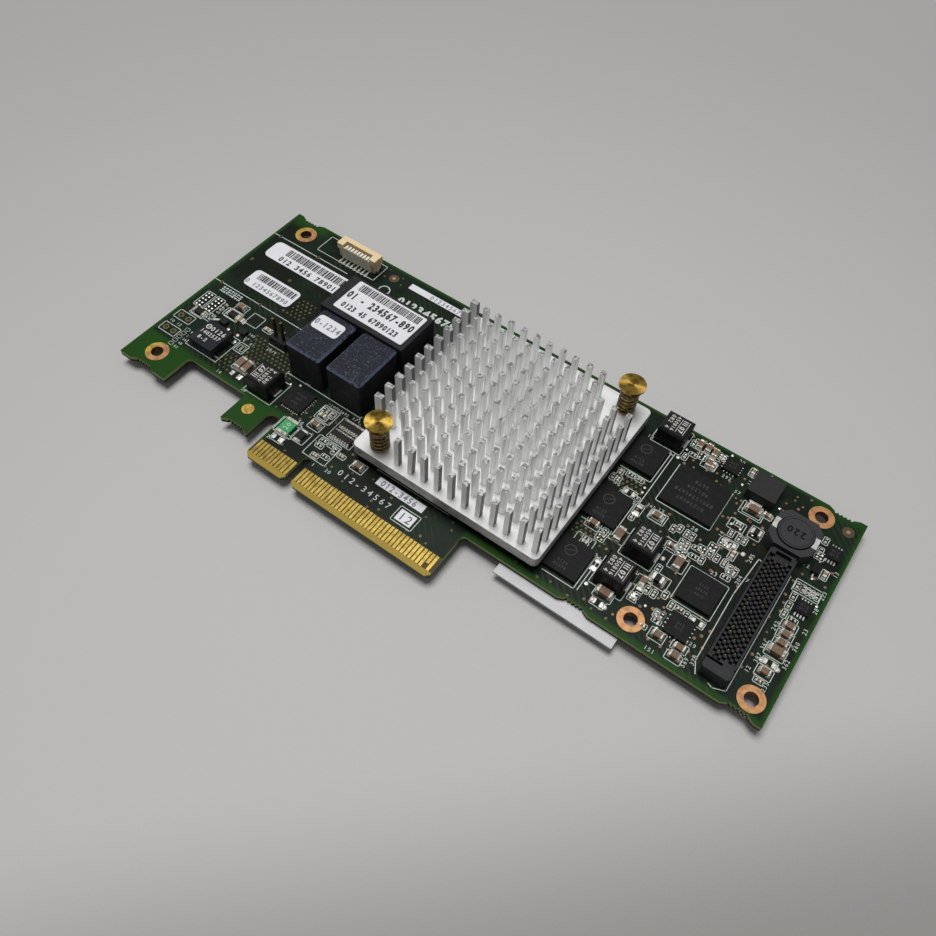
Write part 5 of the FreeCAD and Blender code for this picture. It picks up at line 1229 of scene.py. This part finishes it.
def partMarks():
    # figures and bars printed in white on the chokes and the transformer, marked faintly by laser on the
    # chips, and printed dark on the coil's drum, with a dark ring of painted shade in the drum's groove
    white, faint, dark, pale, foot = Shape(), Shape(), Shape(), Shape(), Shape()
    for name in chokes:
        x, y, level = onTop(*span(name))
        start = len(white.points)
        printed(white, "082 4", x, y - 1.75, 1.05, level, 0, 0.01)
        printed(white, "450816", x - 0.05, y - 0.45, 1.0, level, 0, 0.01, 0.95)
        for rise in (0.45, 2.35):
            white.bar((x - 2.1, y + rise), (x + 2.1, y + rise), 0.13, level - sunk, level + printProud)
        printed(white, "07", x + 0.9, y + 1.4, 1.25, level, 0, 0.03)
        for step in range(3):
            left = x - 1.9 + 0.55 * step
            white.bar((left, y + 0.9), (left, y + 1.9), 0.22, level - sunk, level + printProud)
        turnAbout(white, start, x, y, 90 if name == "choke_bracket" else -90)
    x, y, level = onTop(*span("line_transformer"))
    white.ring(x - 2.3, y + 1.9, 0.5, 0.78, level - sunk, level + printProud)
    white.bar((x - 2.7, y + 1.9), (x - 1.9, y + 1.9), 0.18, level - sunk, level + printProud)
    printed(white, "0126", x + 0.9, y + 1.9, 1.35, level, 0, 0.02)
    printed(white, "1402537", x - 0.1, y + 0.1, 1.15, level, 0, 0.02, 0.9)
    printed(white, "8-2", x - 0.9, y - 1.8, 1.15, level, 0, 0.02)
    white.piece("part_prints", partPrint, "paper")
    for name in memoryChips:
        low, high = span(name)
        x, y, level = high[0] - 4.6, middle(low, high)[1] + 0.8, high[2]
        for row, text in enumerate(("0123", "45678")):
            printed(faint, text, x, y - 2.6 - 1.2 * row, 0.75, level)
        faint.ring(x, y + 0.8, 1.2, 1.35, level - sunk, level + laserProud, 28)
        faint.bar((x - 0.8, y + 0.3), (x + 0.8, y + 1.3), 0.12, level - sunk, level + laserProud)
        faint.ring(low[0] + 1.2, high[1] - 1.2, 0.3, 0.45, level - sunk, level + laserProud)
    chips = (("flash_chip", ("01234567", "89012345678", "901234", "5678"), 2.0, 180),
             ("logic_chip", ("0123", "45678", "9012"), 1.3, 0),
             ("clock_chip", ("01234", "567", "8901"), 1.3, 0))
    for name, rows, step, turn in chips:
        x, y, level = onTop(*span(name))
        start = len(faint.points)
        for row, text in enumerate(rows):
            printed(faint, text, x, y + ((len(rows) - 1) / 2 - row) * step, 0.5 * step, level)
        turnAbout(faint, start, x, y, turn)
    for low, high in islands("regulator_chips") + islands("eight_lead_chips"):
        x, y, level = onTop(low, high)
        for row in range(2):
            printed(faint, "012", x, y - 0.5 + row, 0.7, level)
    x, y, level = onTop(*span("power_inductor_drum"))
    printed(dark, "220", x, y, 1.75, level, 180, 0.02)
    # a dark ring in the drum's groove: painted shade
    dark.ring(x, y, 3.44, 3.54, level - sunk, level + 0.01, 48)
    dark.piece("drum_number_and_groove_shade", coilInkAndShade, "ferrite")
    foot.block(75.0, 76.2, 17.0, 18.2, top, top + 0.7)
    foot.piece("inductor_foot", tinPlate, "tin", 0.1)
    faint.piece("laser_marks", laserMark, "epoxy_black")
    x, y, level = onTop(*span("resettable_fuse"))
    printed(pale, "20", x, y, 1.3, level, 90)
    pale.piece("fuse_number", partPrint, "paper")


labels()
partMarks()
print("labels and marks made")


def fanHeader():
    # eight-way shrouded header: a cap that wraps the back and both ends, and a thin front wall with a row
    # of contact ribs along its upper edge
    header = {"ways": 8, "pitchMm": 1.0, "ribMm": 0.6, "capMm": 2.0, "nailMm": 0.4}
    low, high = span("fan_header_housing")
    (x0, y0, z0), (x1, y1, z1) = low, high
    cap, wall, ribs, nails = Shape(), Shape(), Shape(), Shape()
    for box in ((x0, x1, y1 - 1.5, y1, z0 + 2.3, z1),
                (x0, x0 + header["capMm"], y0, y1 - 1.4, z0 + 2.7, z1),
                (x1 - header["capMm"], x1, y0, y1 - 1.4, z0 + 2.7, z1),
                (x0 + 0.5, x1 - 0.5, y1 - 1.9, y1 - 0.3, z0, z0 + 2.4),
                (x0 + 0.5, x0 + 1.0, y0 + 0.2, y1 - 1.8, z0, z0 + 2.8),
                (x1 - 1.0, x1 - 0.5, y0 + 0.2, y1 - 1.8, z0, z0 + 2.8)):
        cap.block(*box)
    wall.block(x0 + 1.3, x1 - 1.3, y0 + 0.05, y0 + 0.55, z0, z1 - 1.0)
    wall.block(x0 + 1.2, x1 - 1.2, y0 + 0.5, y1 - 1.8, z0, z0 + 1.6)
    half = header["ribMm"] / 2
    for way in range(header["ways"]):
        x = (x0 + x1) / 2 + (way - (header["ways"] - 1) / 2) * header["pitchMm"]
        ribs.block(x - half, x + half, y0 - 0.1, y0 + 1.3, z1 - 1.15, z1 - 0.5)
    for side in (x0 + 0.1, x1 - 0.5):
        nails.block(side, side + header["nailMm"], y0 + 1.0, y0 + 2.0, z0 - sunk, z0 + 0.9)
    cap.piece("fan_header_cap", ivoryNylon, "nylon_ivory", 0.12, ("fan_header_housing",))
    wall.piece("fan_header_wall", greyNylon, "nylon_ivory", 0.06)
    ribs.piece("fan_header_ribs", paleNylon, "nylon_ivory", 0.1)
    nails.piece("fan_header_nails", solder, "tin", 0.05)


def mezzanineSocket():
    # staggered columns of wells between ribs, a keyed pocket at the far end and two slots at the near one
    socket = {"columns": 7, "pitchMm": 1.3, "staggerMm": 0.65, "ribMm": 0.31, "middleRibMm": 0.42,
              "contactShare": 0.6, "floorMm": 1.2, "wallMm": 0.5, "noseMm": 2.9, "noseRadiusMm": 0.8}
    low, high = span("mezzanine_socket")
    (x0, y0, z0), (x1, y1, z1) = low, high
    shell, wells, ribs, glints = Shape(), Shape(), Shape(), Shape()
    wall, foot, nose = socket["wallMm"], z0 + socket["floorMm"] - 0.1, y0 + socket["noseMm"]
    shell.block(x0, x1, y0 + 0.9, y1, z0, z0 + socket["floorMm"])
    shell.block(x0, x0 + wall, y0 + 3.4, y1, foot, z1)
    shell.block(x1 - wall, x1, y0 + 3.4, y1, foot, z1)
    rounded = roundedOutline(x0, x1, y0, nose, socket["noseRadiusMm"])  # rounded in front, square behind
    shell.prism(rounded[:12] + [(x0, nose)] + rounded[18:], z0, z1)
    for a, b, y in ((x0, x0 + 1.0, y0 + 2.8), (x0 + 2.6, x1, y0 + 2.8), (x0, x0 + 3.6, y0 + 2.1)):
        shell.block(a, b, y, y + 0.7, foot, z1)
    shell.block(x0, x1, y1 - wall, y1, foot, z1)
    shell.block(x0 + 0.4, x0 + 1.5, y1 - 1.6, y1 - 0.4, foot, z1)
    shell.block(x1 - 1.2, x1 - 0.4, y1 - 2.2, y1 - 0.4, foot, z1)
    shell.block(x0 + 2.6, x0 + 3.7, y1 - 3.0, y1 - 1.8, foot, z1 - 0.2)
    shell.piece("socket_shell", socketPlastic, "connector_black", 0.08, ("mezzanine_socket",))
    # painted shade: the well floor is a darker copy of the plastic
    wells.block(x0 + 0.4, x1 - 0.4, y0 + 3.3, y1 - 0.4, foot, z1 - 1.2)
    wells.piece("socket_well_floor", wellShade, "connector_black")
    across = (x1 - x0 - 2 * wall) / socket["columns"]
    dice = random.Random(8)
    for column in range(socket["columns"]):
        x = x0 + wall + across * (column + 0.5)
        y = y0 + 3.8 + (socket["staggerMm"] if column % 2 else 0.0)
        while y < y1 - 2.6:
            wide = socket["middleRibMm" if column == socket["columns"] // 2 else "ribMm"]
            ribs.prism([(x - wide, y - 0.18), (x, y - 0.36), (x + wide, y - 0.18), (x + wide, y + 0.18),
                        (x, y + 0.36), (x - wide, y + 0.18)], z1 - 1.3, z1 - 0.12)
            if column % 2 and dice.random() < socket["contactShare"]:
                glints.block(x - 0.11, x + 0.11, y + 0.42, y + 0.72, z1 - 1.3, z1 - 0.55)
            y += socket["pitchMm"]
    ribs.piece("socket_ribs", socketPlastic, "connector_black", 0.04)
    glints.piece("socket_contacts", goldPlate, "gold", 0.0, ("mezzanine_contacts",))


fanHeader()
mezzanineSocket()
print("connectors made")
